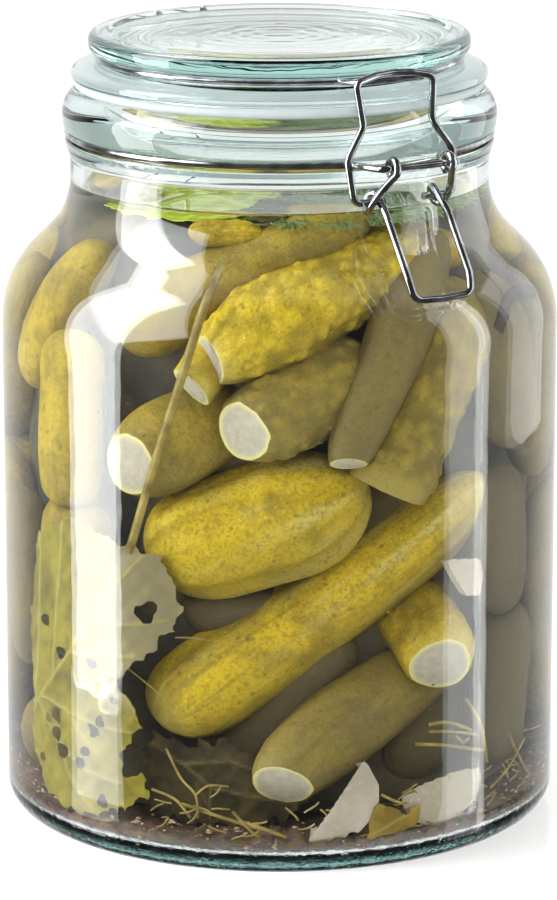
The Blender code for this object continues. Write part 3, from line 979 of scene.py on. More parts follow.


# Each gherkin: foot and tip (turn, height, distance from the axis), girth (its radius), then by name:
# taper, how much thicker the tip is than the foot; face, the way that a cut foot looks (to the right, to the
# glass, up); cut, how full it is where it is cut; warts, how many; tone, how dark: partly its own
# tone, and partly painted shade that is darkest deep in the heap and far round its sides; shape, how blunt
# its ends are; ridges, how ribbed it is; streaks, how striped; bands, how many wide pale stripes; arch, how
# far its middle is bent up, in millimetres.
FRONT_GHERKINS = {
    "long_smooth": ((-32, 39, 60), (58, 105, 62), 12.6, dict(
        taper=-0.17, warts=26, shape=7.0, arch=1.5, streaks=1.0, bands=7, tone=0.04)),
    "fat_oval": ((-36, 85, 57), (23, 108, 57), 17.4, dict(
        warts=70, shape=2.8, ridges=2.2, streaks=0.7, bands=6)),
    "top_smooth": ((-41, 147, 63), (29, 182, 47), 10.2, dict(warts=16, tone=0.48, shape=5.0)),
    "warty": ((-15, 145, 67), (45, 172, 53), 12.0, dict(
        face=(-0.75, 0.60, -0.28), cut=0.45, warts=260, shape=2.6, taper=0.06)),
    "middle_cut": ((-8.8, 125, 68), (26, 142, 54), 11.4, dict(
        face=(-0.50, 0.85, -0.15), cut=0.45, warts=150, tone=0.64, shape=3.0)),
    "slim_smooth": ((14.5, 117, 69), (52, 174, 54), 8.2, dict(
        face=(-0.1, 0.45, -0.85), cut=0.5, taper=0.05, warts=20, streaks=0.5, tone=0.84)),
    "dark_warty": ((26, 108, 65), (57, 156, 56), 11.0, dict(
        face=(-0.42, -0.10, -0.90), warts=230, tone=0.56, shape=5.0)),
    "left_dark": ((-37.5, 111, 67), (-9, 130, 42), 12.4, dict(
        face=(-0.15, 0.95, -0.15), cut=0.3, warts=70, tone=0.55, shape=2.8)),
    "low_cut": ((-1, 25, 67), (60, 56, 51), 11.4, dict(
        face=(-0.20, 0.75, -0.60), cut=0.5, taper=-0.1, warts=50, tone=0.72, shape=3.4, streaks=0.8)),
    "right_cut": ((40.5, 55.5, 69), (50, 70, 38), 10.4, dict(
        face=(-0.45, 0.75, -0.42), cut=0.5, warts=80, tone=0.15)),
    "small_cut": ((-20, 138, 67), (-12, 152, 50), 6.4, dict(face=(-0.55, 0.60, -0.60), warts=24)),
    "left_high": ((-56, 146, 64), (-58, 97, 64), 10.4, dict(warts=50, shape=9.0, tone=0.22)),
    "left_low": ((-57, 99, 61), (-61, 52, 60), 10.6, dict(warts=50, shape=9.0, tone=0.22)),
    "left_foot": ((-86, 16, 58), (-50, 44, 56), 10.5, dict(warts=50, tone=0.75)),
    "left_round": ((-78, 128, 62), (-58, 168, 55), 9.5, dict(tone=0.25)),
    "right_high": ((60, 158, 60), (69, 112, 64), 10.5, dict(warts=60, tone=0.88, streaks=1.0)),
    "right_middle": ((61, 108, 64), (64, 64, 63), 10.4, dict(warts=60, tone=1.0)),
    "right_low": ((68, 66, 63), (62, 19, 63), 10.5, dict(warts=60, tone=1.0)),
    "right_far": ((84, 150, 62), (80, 100, 64), 10.0, dict(warts=50, tone=0.75)),
    "right_foot": ((92, 96, 64), (84, 44, 64), 10.5, dict(warts=50, tone=0.85)),
    "left_far": ((-84, 96, 63), (-80, 44, 62), 10.5, dict(warts=50, tone=0.85)),
    "under_oval": ((-30, 72, 48), (12, 66, 46), 9.0, dict(warts=0, tone=1.0)),
    "right_deep": ((40, 84, 46), (64, 92, 50), 9.0, dict(tone=1.0)),
    "upper_deep": ((30, 176, 44), (66, 160, 50), 8.5, dict(tone=0.3)),
    "surface_end": ((-29, 176.5, 49), (-5, 176, 46), 4.8, dict(warts=10, shape=3.0, streaks=1.0)),
}


def back_gherkins():
    """The far side, by rule: rows that lean by turns, one in the shoulder, some deep in and some between."""
    found = {}
    for row in range(3):
        for place in range(4):
            middle = 108.0 + 48.0 * place + 14.0 * (row % 2)
            lean = 14.0 if (row + place) % 2 else -14.0
            foot = 14.0 + 44.0 * row
            kind = dict(warts=60, tone=0.1 * ((row + 2 * place) % 4), shape=4.0)
            found[f"back_{row}_{place}"] = (
                (middle - lean, foot + 3.0 * place % 7, 63), (middle + lean, foot + 46.0, 63), 10.5, kind)
    for place in range(3):
        middle = 110.0 + 62.0 * place
        kind = dict(warts=50, tone=0.1, shape=4.0)
        found[f"shoulder_{place}"] = ((middle - 24, 156, 58), (middle + 24, 165, 54), 9.0, kind)
    for row in range(3):
        for place in range(6):
            middle = 60.0 * place + 30.0 * row
            # The deep ones are darkest: painted shade deep in the heap
            kind = dict(warts=0, tone=1.0, shape=4.0)
            found[f"inner_{row}_{place}"] = (
                (middle - 20, 16 + 46 * row, 44), (middle + 20, 66 + 46 * row, 42), 11.5, kind)
    for row in range(3):
        for place in range(3):
            middle = 132.0 + 48.0 * place + 14.0 * (row % 2)
            kind = dict(warts=60, tone=0.35 + 0.1 * ((row + place) % 3), shape=3.2, streaks=0.6)
            found[f"between_{row}_{place}"] = (
                (middle + 3, 12 + 44 * row, 54), (middle - 3, 62 + 44 * row, 53), 11.5, kind)
    return found


MANY_WARTS = 100
WARTY_STEPS = 100       # facets round a warty gherkin, and round another
SMOOTH_STEPS = 56


def gherkin(name, foot, tip, girth, taper=0.0, face=None, cut=1.3, warts=40, tone=0.0, shape=4.0, ridges=0.3,
            streaks=0.25, bands=0, arch=0.0, seed=1, fineness=1.0):
    """One gherkin from a sphere: stretched, bent, ribbed and warted, with a flat face where an end is cut."""
    draw = np.random.default_rng(seed)
    foot_turn = math.radians(FACE_TURN + foot[0])
    foot, tip = inside(*foot), inside(*tip)
    along = (tip - foot).normalized()
    start = foot - along * (cut * girth * MM if face else 0.0)
    middle, half = (start + tip) / 2, (tip - start).length / 2
    girth *= MM
    around = int((WARTY_STEPS if warts > MANY_WARTS else SMOOTH_STEPS) * fineness)
    deselect()
    bpy.ops.mesh.primitive_uv_sphere_add(segments=around, ring_count=int(around * 1.35), radius=1.0)
    piece = named(name)
    ball = get_points(piece)
    level = np.clip(ball[:, 2], -1.0, 1.0)
    angle = np.arctan2(ball[:, 1], ball[:, 0])
    swell = np.sqrt(np.maximum(0.0, 1.0 - np.abs(level) ** shape))
    reach = girth * swell * (1.0 + taper * level)
    for count, depth in ((2, 0.035), (3, 0.03), (5, 0.014 * ridges), (9, 0.022 * ridges)):
        shift = draw.uniform(0.0, 2 * math.pi)
        reach = reach * (1.0 + depth * np.cos(count * angle + shift + 0.6 * level * draw.uniform(-1, 1)))
    reach = reach * (1.0 + 0.03 * np.sin(level * 5.0 + draw.uniform(0, 6)))
    lift, bump, dip = warts_on(level, angle, girth, half, warts, draw)
    if face:
        smooth_end = np.clip(((level + 1.0) * half - cut * girth) / (4.0 * MM), 0.0, 1.0)
        lift, bump, dip = lift * smooth_end, bump * smooth_end, dip * smooth_end
    reach = reach + lift * np.sqrt(swell)
    bend = draw.uniform(-0.03, 0.03) * half * 2 * (1.0 - level ** 2)
    side = draw.uniform(0.0, 2 * math.pi)
    local = np.stack([
        reach * np.cos(angle) + bend * math.cos(side),
        reach * np.sin(angle) + bend * math.sin(side),
        level * half,
    ], axis=1)
    turn = np.array((tip - start).to_track_quat("Z", "Y").to_matrix())
    placed = local @ turn.T + np.array(middle)
    placed[:, 2] += arch * MM * (1.0 - level ** 2)
    put_points(piece, placed)
    near_cut = np.exp(-np.maximum(0.0, (placed - np.array(foot)) @ np.array(along)) / (2.5 * MM))
    tips = np.clip((np.abs(level) - 0.86) / 0.14, 0.0, 1.0)
    outwards = np.stack([np.cos(angle), np.sin(angle), 0.0 * angle], axis=1)
    wave = np.cos(bands * angle + 1.5 * seed + 0.6 * np.sin(2.5 * level))
    band = np.clip(2.4 * wave - 1.2, 0.0, 1.0) * np.clip(0.45 + 0.7 * level, 0.1, 1.0)
    # The underside value below is painted shade: it grows where the skin faces down
    painted(
        piece, wart=bump, dip=dip, tone=np.full(len(level), tone), streaks=np.full(len(level), streaks),
        tip=np.maximum(tips, near_cut) if face else tips, rind=np.zeros(len(level)),
        under=np.clip(0.15 - outwards @ turn[2], 0.0, 1.0), band=band * (1.0 if bands else 0.0))
    piece.data.materials.append(finish(gherkin_skin))
    piece.data.materials.append(finish(cut_flesh))
    if face:
        right = Vector((math.cos(foot_turn), math.sin(foot_turn), 0.0))
        out = Vector((math.sin(foot_turn), -math.cos(foot_turn), 0.0))
        cut_end(piece, foot, (right * face[0] + out * face[1] + Vector((0.0, 0.0, face[2]))).normalized())
    put_points(piece, kept_inside(get_points(piece)))
    only(piece)
    bpy.ops.object.shade_smooth_by_angle(angle=math.radians(60.0))
    return piece


def warts_on(level, angle, girth, half, count, draw):
    """How far warts lift each point, in metres, and how much of a wart and of a hollow is there."""
    lift = np.zeros(len(level))
    if count == 0:
        return lift, lift.copy(), lift.copy()
    warty = count > MANY_WARTS
    rows = max(7, int(count / 14))
    for index in range(count):
        at_angle = 2 * math.pi * ((index % rows) + draw.uniform(-0.35, 0.35)) / rows
        at_level = draw.uniform(-0.95, 0.95)
        size = (draw.uniform(1.2, 2.3) if warty else draw.uniform(0.8, 1.3)) * MM
        tall = (draw.uniform(0.6, 1.25) if warty else draw.uniform(0.2, 0.45)) * MM
        across = (np.angle(np.exp(1j * (angle - at_angle)))) * girth
        down = (level - at_level) * half
        lift = np.maximum(lift, tall * np.exp(-(across ** 2 + down ** 2) / (2 * (size * 0.60) ** 2)))
    bump = np.clip(lift / (0.9 * MM if warty else 0.5 * MM), 0.0, 1.0)
    dip = np.clip(1.0 - lift / (0.35 * MM), 0.0, 1.0) * (0.55 if warty else 0.12)
    return lift, bump, dip


def cut_end(piece, foot, way):
    """Cuts the foot off flat, looking the given way, and gives the face its own finish inside the rind."""
    only(piece)
    bpy.ops.object.mode_set(mode="EDIT")
    bpy.ops.mesh.select_all(action="SELECT")
    bpy.ops.mesh.bisect(plane_co=foot, plane_no=-way, use_fill=True, clear_inner=True)
    bpy.ops.mesh.inset(thickness=0.3 * MM, depth=0.15 * MM)
    piece.active_material_index = 1
    bpy.ops.object.material_slot_assign()
    bpy.ops.mesh.poke()
    bpy.ops.object.mode_set(mode="OBJECT")
    mesh = piece.data
    count = np.zeros(len(mesh.vertices), dtype=int)
    for face in mesh.polygons:
        if face.material_index == 1:
            for v in face.vertices:
                count[v] += 1
    rind = (count > 0).astype(np.float32)
    rind[np.argmax(count)] = 0.0
    mesh.attributes["rind"].data.foreach_set("value", rind)


class JAR_OT_core(bpy.types.Operator):
    """Fills the middle of the heap, where only shade shows"""
    bl_idname = "clip_jar.core"
    bl_label = "Heap core"

    def execute(self, context):
        outline = [
            (0.0, 9.2), (44.0, 9.2), (49.0, 12.0), (53.0, 20.0), (53.0, 80.0), (53.0, 130.0), (52.0, 154.0),
            (48.0, 168.0), (42.0, 174.5), (30.0, CORE_TOP), (0.0, CORE_TOP + 0.5),
        ]
        piece = turned("painted_shade_core", eased(outline, 4), 96)
        points = get_points(piece)
        turn = np.degrees(np.arctan2(points[:, 0], -points[:, 1])) - FACE_TURN - HOLLOW_TURN
        turn = (turn + 180.0) % 360.0 - 180.0
        under_top = np.clip((CORE_TOP - points[:, 2] / MM) / 20.0, 0.0, 1.0)
        share = 1.0 - HOLLOW * under_top * np.exp(-(turn / HOLLOW_WIDE) ** 2)
        lumps = np.sin(points[:, 0] * 190) * np.sin(points[:, 1] * 170 + 1) * np.sin(points[:, 2] * 150 + 2)
        points[:, :2] *= (share * (1.0 + 0.03 * lumps))[:, None]
        put_points(piece, points)
        dress(piece, [finish(painted_shade_core)], stands_for=["gherkin_heap"])
        return {"FINISHED"}


class JAR_OT_gherkins(bpy.types.Operator):
    """Lays the gherkins in the jar, each one a mesh of its own or part of the far side's"""
    bl_idname = "clip_jar.gherkins"
    bl_label = "Gherkins"

    def execute(self, context):
        for number, (name, (foot, tip, girth, kind)) in enumerate(FRONT_GHERKINS.items()):
            piece = gherkin(f"gherkin_{name}", foot, tip, girth, seed=11 + number, **kind)
            dress(piece, None)
        far = []
        for number, (name, (foot, tip, girth, kind)) in enumerate(back_gherkins().items()):
            far.append(gherkin(name, foot, tip, girth, seed=71 + number, fineness=0.7, **kind))
        dress(joined("far_gherkins", far), None)
        return {"FINISHED"}


# Leaves, garlic, dill and what lies on the floor. Outlines are points (turn, height) just inside the glass.

MM_PER_TURN = 1.29      # along the wall, for one degree
LEAF_THICK = 0.35
LEAF_MESH = 0.75        # the sides of a sheet's small squares
FLOAT_MESH = 0.9
GARLIC_MESH = 0.6
DARK_LEAF_DEPTH = 13.0

LEAF = [
    (-24, 81), (-25, 86), (-28, 91), (-37, 94), (-50, 98), (-62, 90), (-67, 60), (-65, 42), (-66, 26),
    (-60, 12), (-52, 9), (-43, 10), (-37, 13), (-30, 18), (-28.5, 21), (-31, 26), (-36, 25), (-35, 28),
    (-35.5, 31), (-32, 36), (-30, 41), (-33, 47), (-36, 52), (-31, 58), (-25, 66), (-22, 74),
]
LEAF_VEINS = [
    [(-68, 25), (-63, 38), (-56, 48), (-50, 57), (-43, 69), (-37, 79), (-28, 93)],
    [(-64, 38), (-62, 52), (-61, 72), (-60, 90)],
    [(-61, 41), (-52, 40), (-44, 38), (-33, 38)],
    [(-62, 39), (-54, 29), (-46, 24), (-36, 22)],
    [(-50, 57), (-42, 58), (-32, 60)],
    [(-44, 68), (-38, 68), (-26, 71)],
    [(-56, 49), (-55, 62), (-53, 80), (-52, 96)],
    [(-52, 40), (-46, 33), (-42, 30)],
    [(-54, 29), (-50, 20), (-44, 13)],
    [(-40, 74), (-40, 84), (-38, 92)],
]
LEAF_HOLES = [
    ((-59, 64), 1.0), ((-53, 56), 1.1), ((-43.5, 55.5), 1.0), ((-55, 37), 1.4), ((-53, 27), 1.5),
    ((-55, 31.5), 1.3), ((-43, 36), 1.3), ((-41, 39), 1.1), ((-30, 73), 2.1), ((-45.5, 29), 0.8),
    ((-41, 15.5), 1.1), ((-58, 35), 0.7), ((-47, 25), 0.9), ((-61, 22), 0.8), ((-38, 46), 0.6),
]
DARK_LEAF = [
    (-35, 34), (-30, 38), (-24, 34), (-20, 36), (-12, 37), (-6, 31), (2, 27), (9, 22), (6, 15), (-6, 10),
    (-18, 9), (-28, 10), (-36, 14), (-37, 24),
]
DARK_VEINS = [
    [(-33, 33), (-24, 28), (-17, 22), (-17, 12)],
    [(-24, 28), (-12, 30), (-4, 27)],
    [(-18, 22), (-8, 20), (4, 18)],
]
BROWN_LEAF = [
    (20, 20), (26, 18), (27.5, 15.4), (29.5, 18), (32, 17.5), (31, 11), (27, 8.8), (22, 8.7), (17.5, 8.2),
]
GARLIC_WEDGE = [
    (18.0, 33.2), (15.1, 27.9), (10.8, 19.5), (5.2, 9.3), (6.3, 8.4), (11.4, 8.3), (14.1, 8.9), (15.6, 11.0),
    (16.9, 10.0), (20.1, 13.7), (22.1, 19.9), (21.8, 25.2), (20.0, 30.2),
]
GARLIC_HALF = [
    (27.0, 21.6), (31.0, 22.8), (36.6, 24.2), (43.0, 24.8), (48.6, 23.8), (49.6, 20.6), (49.0, 17.0),
    (46.8, 13.0), (42.3, 10.0), (38.1, 8.8), (34.1, 8.8), (30.4, 11.0), (27.6, 14.6), (26.6, 18.2),
]
PALE_CHUNK = [
    (38.6, 86.5), (44.0, 85.9), (50.6, 84.6), (51.6, 78.6), (50.6, 72.6), (45.6, 73.4), (42.0, 79.5),
]


FLOATING = {
    # name: finish, outline, and how much more its halves hang
    "float_green": (green_leaf_skin, [
        (-42, 27), (-34, 37), (-24, 44), (-13, 45), (-6, 37), (0, 25), (3, 9), (-3, -8), (-16, -15),
        (-30, -6), (-40, 6), (-44, 18),
    ], 0.35),
    "float_left": (leaf_skin, [
        (-46, 8), (-42, 20), (-38, 30), (-33, 33), (-31, 22), (-34, 6), (-40, -2),
    ], 0.0),
    "float_dark": (dark_leaf_skin, [
        (-9, 46), (-4, 49), (3, 47), (5, 38), (2, 28), (-3, 24), (-8, 32),
    ], 0.6),
}


def within(points, outline):
    """Which of the flat points lie inside a closed outline."""
    found = np.zeros(len(points), dtype=bool)
    for (x0, y0), (x1, y1) in zip(outline, np.roll(outline, -1, axis=0)):
        crosses = (y0 > points[:, 1]) != (y1 > points[:, 1])
        at = x0 + (points[:, 1] - y0) * (x1 - x0) / (y1 - y0 if y1 != y0 else 1e-9)
        found ^= crosses & (points[:, 0] < at)
    return found


def off_line(points, line):
    """How far each flat point is from a line of points."""
    nearest = np.full(len(points), 1e9)
    for start, end in zip(line, line[1:]):
        start, end = np.array(start, float), np.array(end, float)
        run = end - start
        share = np.clip(((points - start) @ run) / (run @ run), 0.0, 1.0)
        nearest = np.minimum(nearest, np.linalg.norm(points - (start + share[:, None] * run), axis=1))
    return nearest


def on_wall(outline):
    """Places (turn, height) as flat millimetres."""
    return np.array([(turn * MM_PER_TURN, height) for turn, height in outline], float)


def sheet(name, outline, spacing, ragged=0.0, holes=()):
    """A sheet of small squares in an outline of flat millimetres. It gives the piece and its flat points."""
    lowest, highest = outline.min(axis=0) - 2.0, outline.max(axis=0) + 2.0
    size = highest - lowest
    deselect()
    bpy.ops.mesh.primitive_grid_add(
        x_subdivisions=int(size[0] / spacing), y_subdivisions=int(size[1] / spacing), size=1.0)
    piece = named(name)
    flat = lowest + (get_points(piece)[:, :2] + 0.5) * size
    wander = ragged * np.column_stack([
        np.sin(flat[:, 1] * 0.9 + np.sin(flat[:, 0] * 0.6)) + 0.6 * np.sin(flat[:, 1] * 2.3 + 1.0),
        np.sin(flat[:, 0] * 0.8 + np.sin(flat[:, 1] * 0.7)) + 0.6 * np.sin(flat[:, 0] * 2.1 + 2.0),
    ])
    keep = within(flat + wander, outline)
    for centre, radius in holes:
        gap = flat - np.array(centre)
        way = np.arctan2(gap[:, 1], gap[:, 0])
        keep &= np.linalg.norm(gap, axis=1) > radius * (1.0 + 0.3 * np.sin(3 * way + centre[0]))
    put_points(piece, np.column_stack([flat, np.zeros(len(flat))]))
    only(piece)
    bpy.ops.object.mode_set(mode="EDIT")
    bpy.ops.mesh.select_mode(type="VERT")
    bpy.ops.mesh.select_all(action="DESELECT")
    bpy.ops.object.mode_set(mode="OBJECT")
    piece.data.vertices.foreach_set("select", ~keep)
    bpy.ops.object.mode_set(mode="EDIT")
    bpy.ops.mesh.delete(type="VERT")
    bpy.ops.mesh.select_all(action="SELECT")
    bpy.ops.mesh.delete_loose(use_verts=True, use_edges=True, use_faces=False)
    bpy.ops.mesh.select_all(action="SELECT")
    bpy.ops.mesh.region_to_loop()
    bpy.ops.mesh.vertices_smooth(factor=0.5, repeat=4)
    bpy.ops.object.mode_set(mode="OBJECT")
    return piece, get_points(piece)[:, :2].copy()


def thickened(piece, thickness):
    """Gives a sheet a thickness in millimetres, inwards from the glass."""
    only(piece)
    bpy.ops.object.modifier_add(type="SOLIDIFY")
    made = piece.modifiers[-1]
    made.thickness = thickness * MM
    made.offset = -1.0
    bpy.ops.object.modifier_apply(modifier=made.name)
    bpy.ops.object.mode_set(mode="EDIT")
    bpy.ops.mesh.select_all(action="SELECT")
    bpy.ops.mesh.normals_make_consistent(inside=False)
    bpy.ops.object.mode_set(mode="OBJECT")
    bpy.ops.object.shade_smooth_by_angle(angle=math.radians(60.0))


def wrapped(piece, flat, depth):
    """Lays flat points along the glass, each at its own depth behind it, in millimetres."""
    reach = glass_reach(flat[:, 1]) - 0.6 - depth
    angle = np.radians(FACE_TURN + flat[:, 0] / MM_PER_TURN)
    put_points(piece, np.column_stack([reach * np.sin(angle), -reach * np.cos(angle), flat[:, 1]]) * MM)


def leaf(name, outline, veins, depth, material, holes=(), ragged=0.7, shades_fold=False):
    """A ragged leaf by the glass, puckered between veins. Painted shade may grey its bent upper right."""
    lines = [on_wall(vein) for vein in veins]
    gaps = [(on_wall([centre])[0], radius) for centre, radius in holes]
    piece, flat = sheet(name, on_wall(outline), LEAF_MESH, ragged, gaps)
    off = np.min([off_line(flat, line) for line in lines], axis=0)
    vein = np.exp(-(off / 0.45) ** 2)
    waves = 0.35 * np.sin(flat[:, 0] * 0.9) * np.sin(flat[:, 1] * 0.8 + 1.0)
    pucker = 0.9 * np.clip(off / 5.0, 0.0, 1.0) + waves
    wrapped(piece, flat, np.maximum(depth(flat) + pucker - 0.35 * vein, 0.0))
    # Painted shade at the upper right, where the leaf bends away from the glass
    to_right = np.clip((flat[:, 0] / MM_PER_TURN + 43.0) / 6.0, 0.0, 1.0)
    to_top = np.clip((flat[:, 1] - 42.0) / 8.0, 0.0, 1.0)
    painted(piece, vein=vein, faded=to_right * to_top * (1.0 if shades_fold else 0.0))
    thickened(piece, LEAF_THICK)
    dress(piece, [finish(material)])


def slab(name, outline, depth, thick, round_by=2.2):
    """A slice of garlic against the glass, with rounded edges."""
    flat_outline = on_wall(outline)
    piece, flat = sheet(name, flat_outline, GARLIC_MESH)
    off = off_line(flat, list(flat_outline) + [flat_outline[0]])
    edge = np.clip(1.0 - off / round_by, 0.0, 1.0)
    wrapped(piece, flat, depth + round_by * 0.55 * (1.0 - np.sqrt(1.0 - edge ** 2)))
    thickened(piece, thick)
    dress(piece, [finish(garlic_skin)])


class JAR_OT_leaves(bpy.types.Operator):
    """Lays the big leaf, the darker ones and the folded ones that float under the brine's surface"""
    bl_idname = "clip_jar.leaves"
    bl_label = "Leaves"

    def execute(self, context):
        leaf("big_leaf", LEAF, LEAF_VEINS, self.big_depth, leaf_skin, holes=LEAF_HOLES, shades_fold=True)
        leaf("dark_leaf", DARK_LEAF, DARK_VEINS, lambda flat: DARK_LEAF_DEPTH, dark_leaf_skin, ragged=1.2)
        leaf("brown_leaf", BROWN_LEAF, [[(19, 10), (31, 17)]], lambda flat: 0.1, brown_leaf_skin, ragged=0.3)
        self.floating()
        return {"FINISHED"}

    def big_depth(self, flat):
        """The leaf bends away from the glass towards its right edge, most where its lobe is folded."""
        turn = flat[:, 0] / MM_PER_TURN
        fold = np.clip((turn + 36.0) / 12.0, 0.0, 1.0) ** 1.5 * np.clip((flat[:, 1] - 48.0) / 14.0, 0.0, 1.0)
        low_edge = np.clip((turn + 42.0) / 12.0, 0.0, 1.0) * np.clip((40.0 - flat[:, 1]) / 20.0, 0.0, 1.0)
        return 0.2 + 8.0 * fold + 3.0 * low_edge

    def floating(self):
        """Leaves at the surface, from outlines in millimetres to the right and towards the camera."""
        under = settings("jar_sizes").brine_top / MM - 1.2
        right, near = camera_sides()
        for name, (material, outline, fold) in FLOATING.items():
            piece, flat = sheet(name, np.array(outline, float), FLOAT_MESH, 0.6)
            middle = np.array(outline, float).mean(axis=0)
            along = (flat - middle) @ np.array([0.55, 0.83])
            across = (flat - middle) @ np.array([0.83, -0.55])
            side_veins = (along * 0.8 + np.abs(across)) % 7.0 - 3.5
            vein = np.exp(-(across / 0.8) ** 2) + np.exp(-(side_veins / 0.45) ** 2)
            points = np.array([list((right * x + near * y)) for x, y in flat])
            waves = 0.8 * np.abs(np.sin(along * 0.35 + across * 0.2))
            points[:, 2] = under - 0.10 * np.abs(across) * (1 + fold) - waves
            put_points(piece, kept_inside(points * MM, 0.9))
            painted(piece, vein=np.clip(vein, 0.0, 1.0))
            thickened(piece, LEAF_THICK)
            dress(piece, [finish(material)])


class JAR_OT_garlic(bpy.types.Operator):
    """Slices the garlic that lies on the floor, and a pale piece higher up"""
    bl_idname = "clip_jar.garlic"
    bl_label = "Garlic"

    def execute(self, context):
        slab("garlic_wedge", GARLIC_WEDGE, 1.2, 5.0)
        slab("garlic_half", GARLIC_HALF, 1.4, 7.0, round_by=4.0)
        slab("pale_chunk", PALE_CHUNK, 6.0, 4.0, round_by=1.0)
        return {"FINISHED"}


DILL_BRANCHES = 190
DILL_HAIRS = 9
SUNK_HAIRS = 64
HAIR_R = 0.28
STEMS = {
    # name: radius in millimetres, then its points (turn, height, distance from the axis)
    "stalk": (1.25, [
        (-14.8, 170, 66.5), (-18.5, 152, 71.5), (-23, 132, 74), (-28, 112, 74), (-33.5, 90, 73.5)]),
    "twig_a": (1.9, [(53.5, 148.5, 73), (56, 152.5, 73), (60, 155.5, 72), (67, 155, 70), (75, 152, 69)]),
    "twig_b": (0.5, [(58, 155, 72), (56.5, 160, 71), (55, 163, 69)]),
    "stem_a": (0.55, [(33.8, 39.7, 73), (38.6, 39.4, 74), (45.0, 35.4, 74)]),
    "stem_b": (0.45, [(33.9, 37.6, 73), (39.2, 36.6, 74), (46.6, 33.7, 74.2)]),
    "stem_c": (0.50, [(30.8, 34.5, 72), (37.9, 32.8, 74), (48.8, 28.3, 74.2)]),
    "stem_d": (0.60, [(44.5, 44.6, 72), (48.1, 35.9, 74), (49.9, 24.4, 74.4)]),
    "stem_e": (0.45, [(40.6, 35.1, 74), (42.6, 32.5, 74), (45.0, 33.0, 73)]),
    "stem_f": (0.55, [(-8.4, 15.0, 73), (-3.7, 13.4, 74), (1.4, 10.5, 73)]),
    "stem_g": (0.50, [(-10.1, 17.8, 73), (-7.1, 13.9, 74), (-4.1, 9.8, 72)]),
    "stem_h": (0.45, [(22.3, 21.3, 73), (24.7, 19.5, 74), (26.8, 18.2, 74)]),
    "stem_i": (0.45, [(22.6, 16.3, 73), (25.4, 14.6, 74), (27.5, 14.8, 74)]),
    "stem_j": (0.55, [(-21.6, 18.5, 72), (-10.6, 15.4, 73.5), (-3.7, 12.8, 73)]),
    "stem_k": (0.45, [(-28.7, 21.6, 72), (-22.8, 19.8, 73), (-19.4, 15.0, 73)]),
    "branch_a": (0.35, [(-25.5, 34.0, 71), (-21.6, 26.5, 73), (-18.0, 22.0, 74), (-17.8, 15.1, 73)]),
    "branch_b": (0.30, [(-18.0, 22.0, 74), (-15.3, 24.9, 73), (-11.0, 24.8, 72)]),
    "thread_a": (0.25, [(-36.0, 57.2, 73), (-29.8, 51.4, 70), (-24.2, 45.1, 68)]),
    "thread_b": (0.25, [(-24.0, 66.0, 68), (-20.0, 66.0, 66), (-16.0, 65.0, 64)]),
    "stem_l": (0.55, [(58, 30, 74), (63, 22, 73), (70, 13, 72)]),
    "stem_m": (0.50, [(52, 16, 73), (58, 20, 74), (66, 26, 73)]),
    "stem_n": (0.60, [(100, 20, 73), (112, 16, 74), (126, 24, 73)]),
    "stem_o": (0.60, [(-120, 26, 73), (-106, 14, 74), (-92, 18, 73)]),
    "stem_p": (0.60, [(170, 14, 73), (186, 20, 74), (200, 12, 72)]),
}


class JAR_OT_stems(bpy.types.Operator):
    """Lays the stalk across the gherkins, the twig, the dill's stems and its fronds under the surface"""
    bl_idname = "clip_jar.stems"
    bl_label = "Stems and dill"

    def execute(self, context):
        stems = []
        for name, (radius, places) in STEMS.items():
            line = eased([tuple(inside(*place) / MM) for place in places], 6)
            stem = wire(name, line, radius * MM, fineness=2)
            points = kept_inside(get_points(stem), 0.4)
            swell = 0.22 * radius * MM * np.sin(points[:, 2] * 900.0) * np.sin(points[:, 0] * 700.0)
            points[:, :2] *= (1.0 - np.abs(swell) / np.hypot(points[:, 0], points[:, 1]))[:, None]
            put_points(stem, points)
            stems.append(stem)
        twigs = [stem for stem in stems if stem.name.startswith("twig")]
        stems = [stem for stem in stems if stem not in twigs]
        dress(joined("twig", twigs), [finish(twig_bark)])
        dress(joined("stems", stems), [finish(dill_stem)])
        dress(self.fronds(), [finish(dill_green)])
        dress(self.floor_hairs(), [finish(dill_stem)])
        return {"FINISHED"}

    def fronds(self):
        """Feathery dill under the surface, right of the leaves: a hair at each millimetre of a branch."""
        draw = random.Random(23)
        right, near = camera_sides()
        top = settings("jar_sizes").brine_top / MM - 1.6
        hairs = []
        for branch in range(DILL_BRANCHES):
            x, y = draw.uniform(1.0, 47.0), draw.uniform(-6.0, 46.0)
            if math.hypot(x, y) > 50.0:
                x, y = x * 0.8, y * 0.8
            way = draw.uniform(0.0, 2 * math.pi)
            for hair in range(DILL_HAIRS):
                turn = way + draw.uniform(-0.9, 0.9)
                length = draw.uniform(5.0, 11.0)
                start = Vector((x, y)) + Vector((math.cos(way), math.sin(way))) * hair
                end = start + Vector((math.cos(turn), math.sin(turn))) * length
                places = [
                    right * p.x + near * p.y + Vector((0.0, 0.0, top - draw.uniform(0.0, 2.6)))
                    for p in (start, (start + end) / 2 + Vector((draw.uniform(-0.6, 0.6),) * 2), end)
                ]
                hairs.append(places)
        piece = wire("dill_fronds", hairs, HAIR_R * MM, fineness=0)
        put_points(piece, kept_inside(get_points(piece), 0.3))
        return piece

    def floor_hairs(self):
        """Thin bits of dill that have sunk."""
        draw = random.Random(31)
        hairs = []
        for hair in range(SUNK_HAIRS):
            turn, height = draw.uniform(-30.0, 75.0), draw.uniform(7.5, 22.0)
            heading = draw.uniform(-0.8, 0.8)
            line = []
            for step in range(5):
                line.append(tuple(inside(turn, height, 73.6) / MM))
                turn += 1.0 * math.cos(heading)
                height += 1.3 * math.sin(heading)
                heading += draw.uniform(-0.4, 0.4)
            hairs.append(line)
        piece = wire("sunk_dill", hairs, HAIR_R * MM, fineness=0)
        put_points(piece, kept_inside(get_points(piece), 0.3))
        return piece


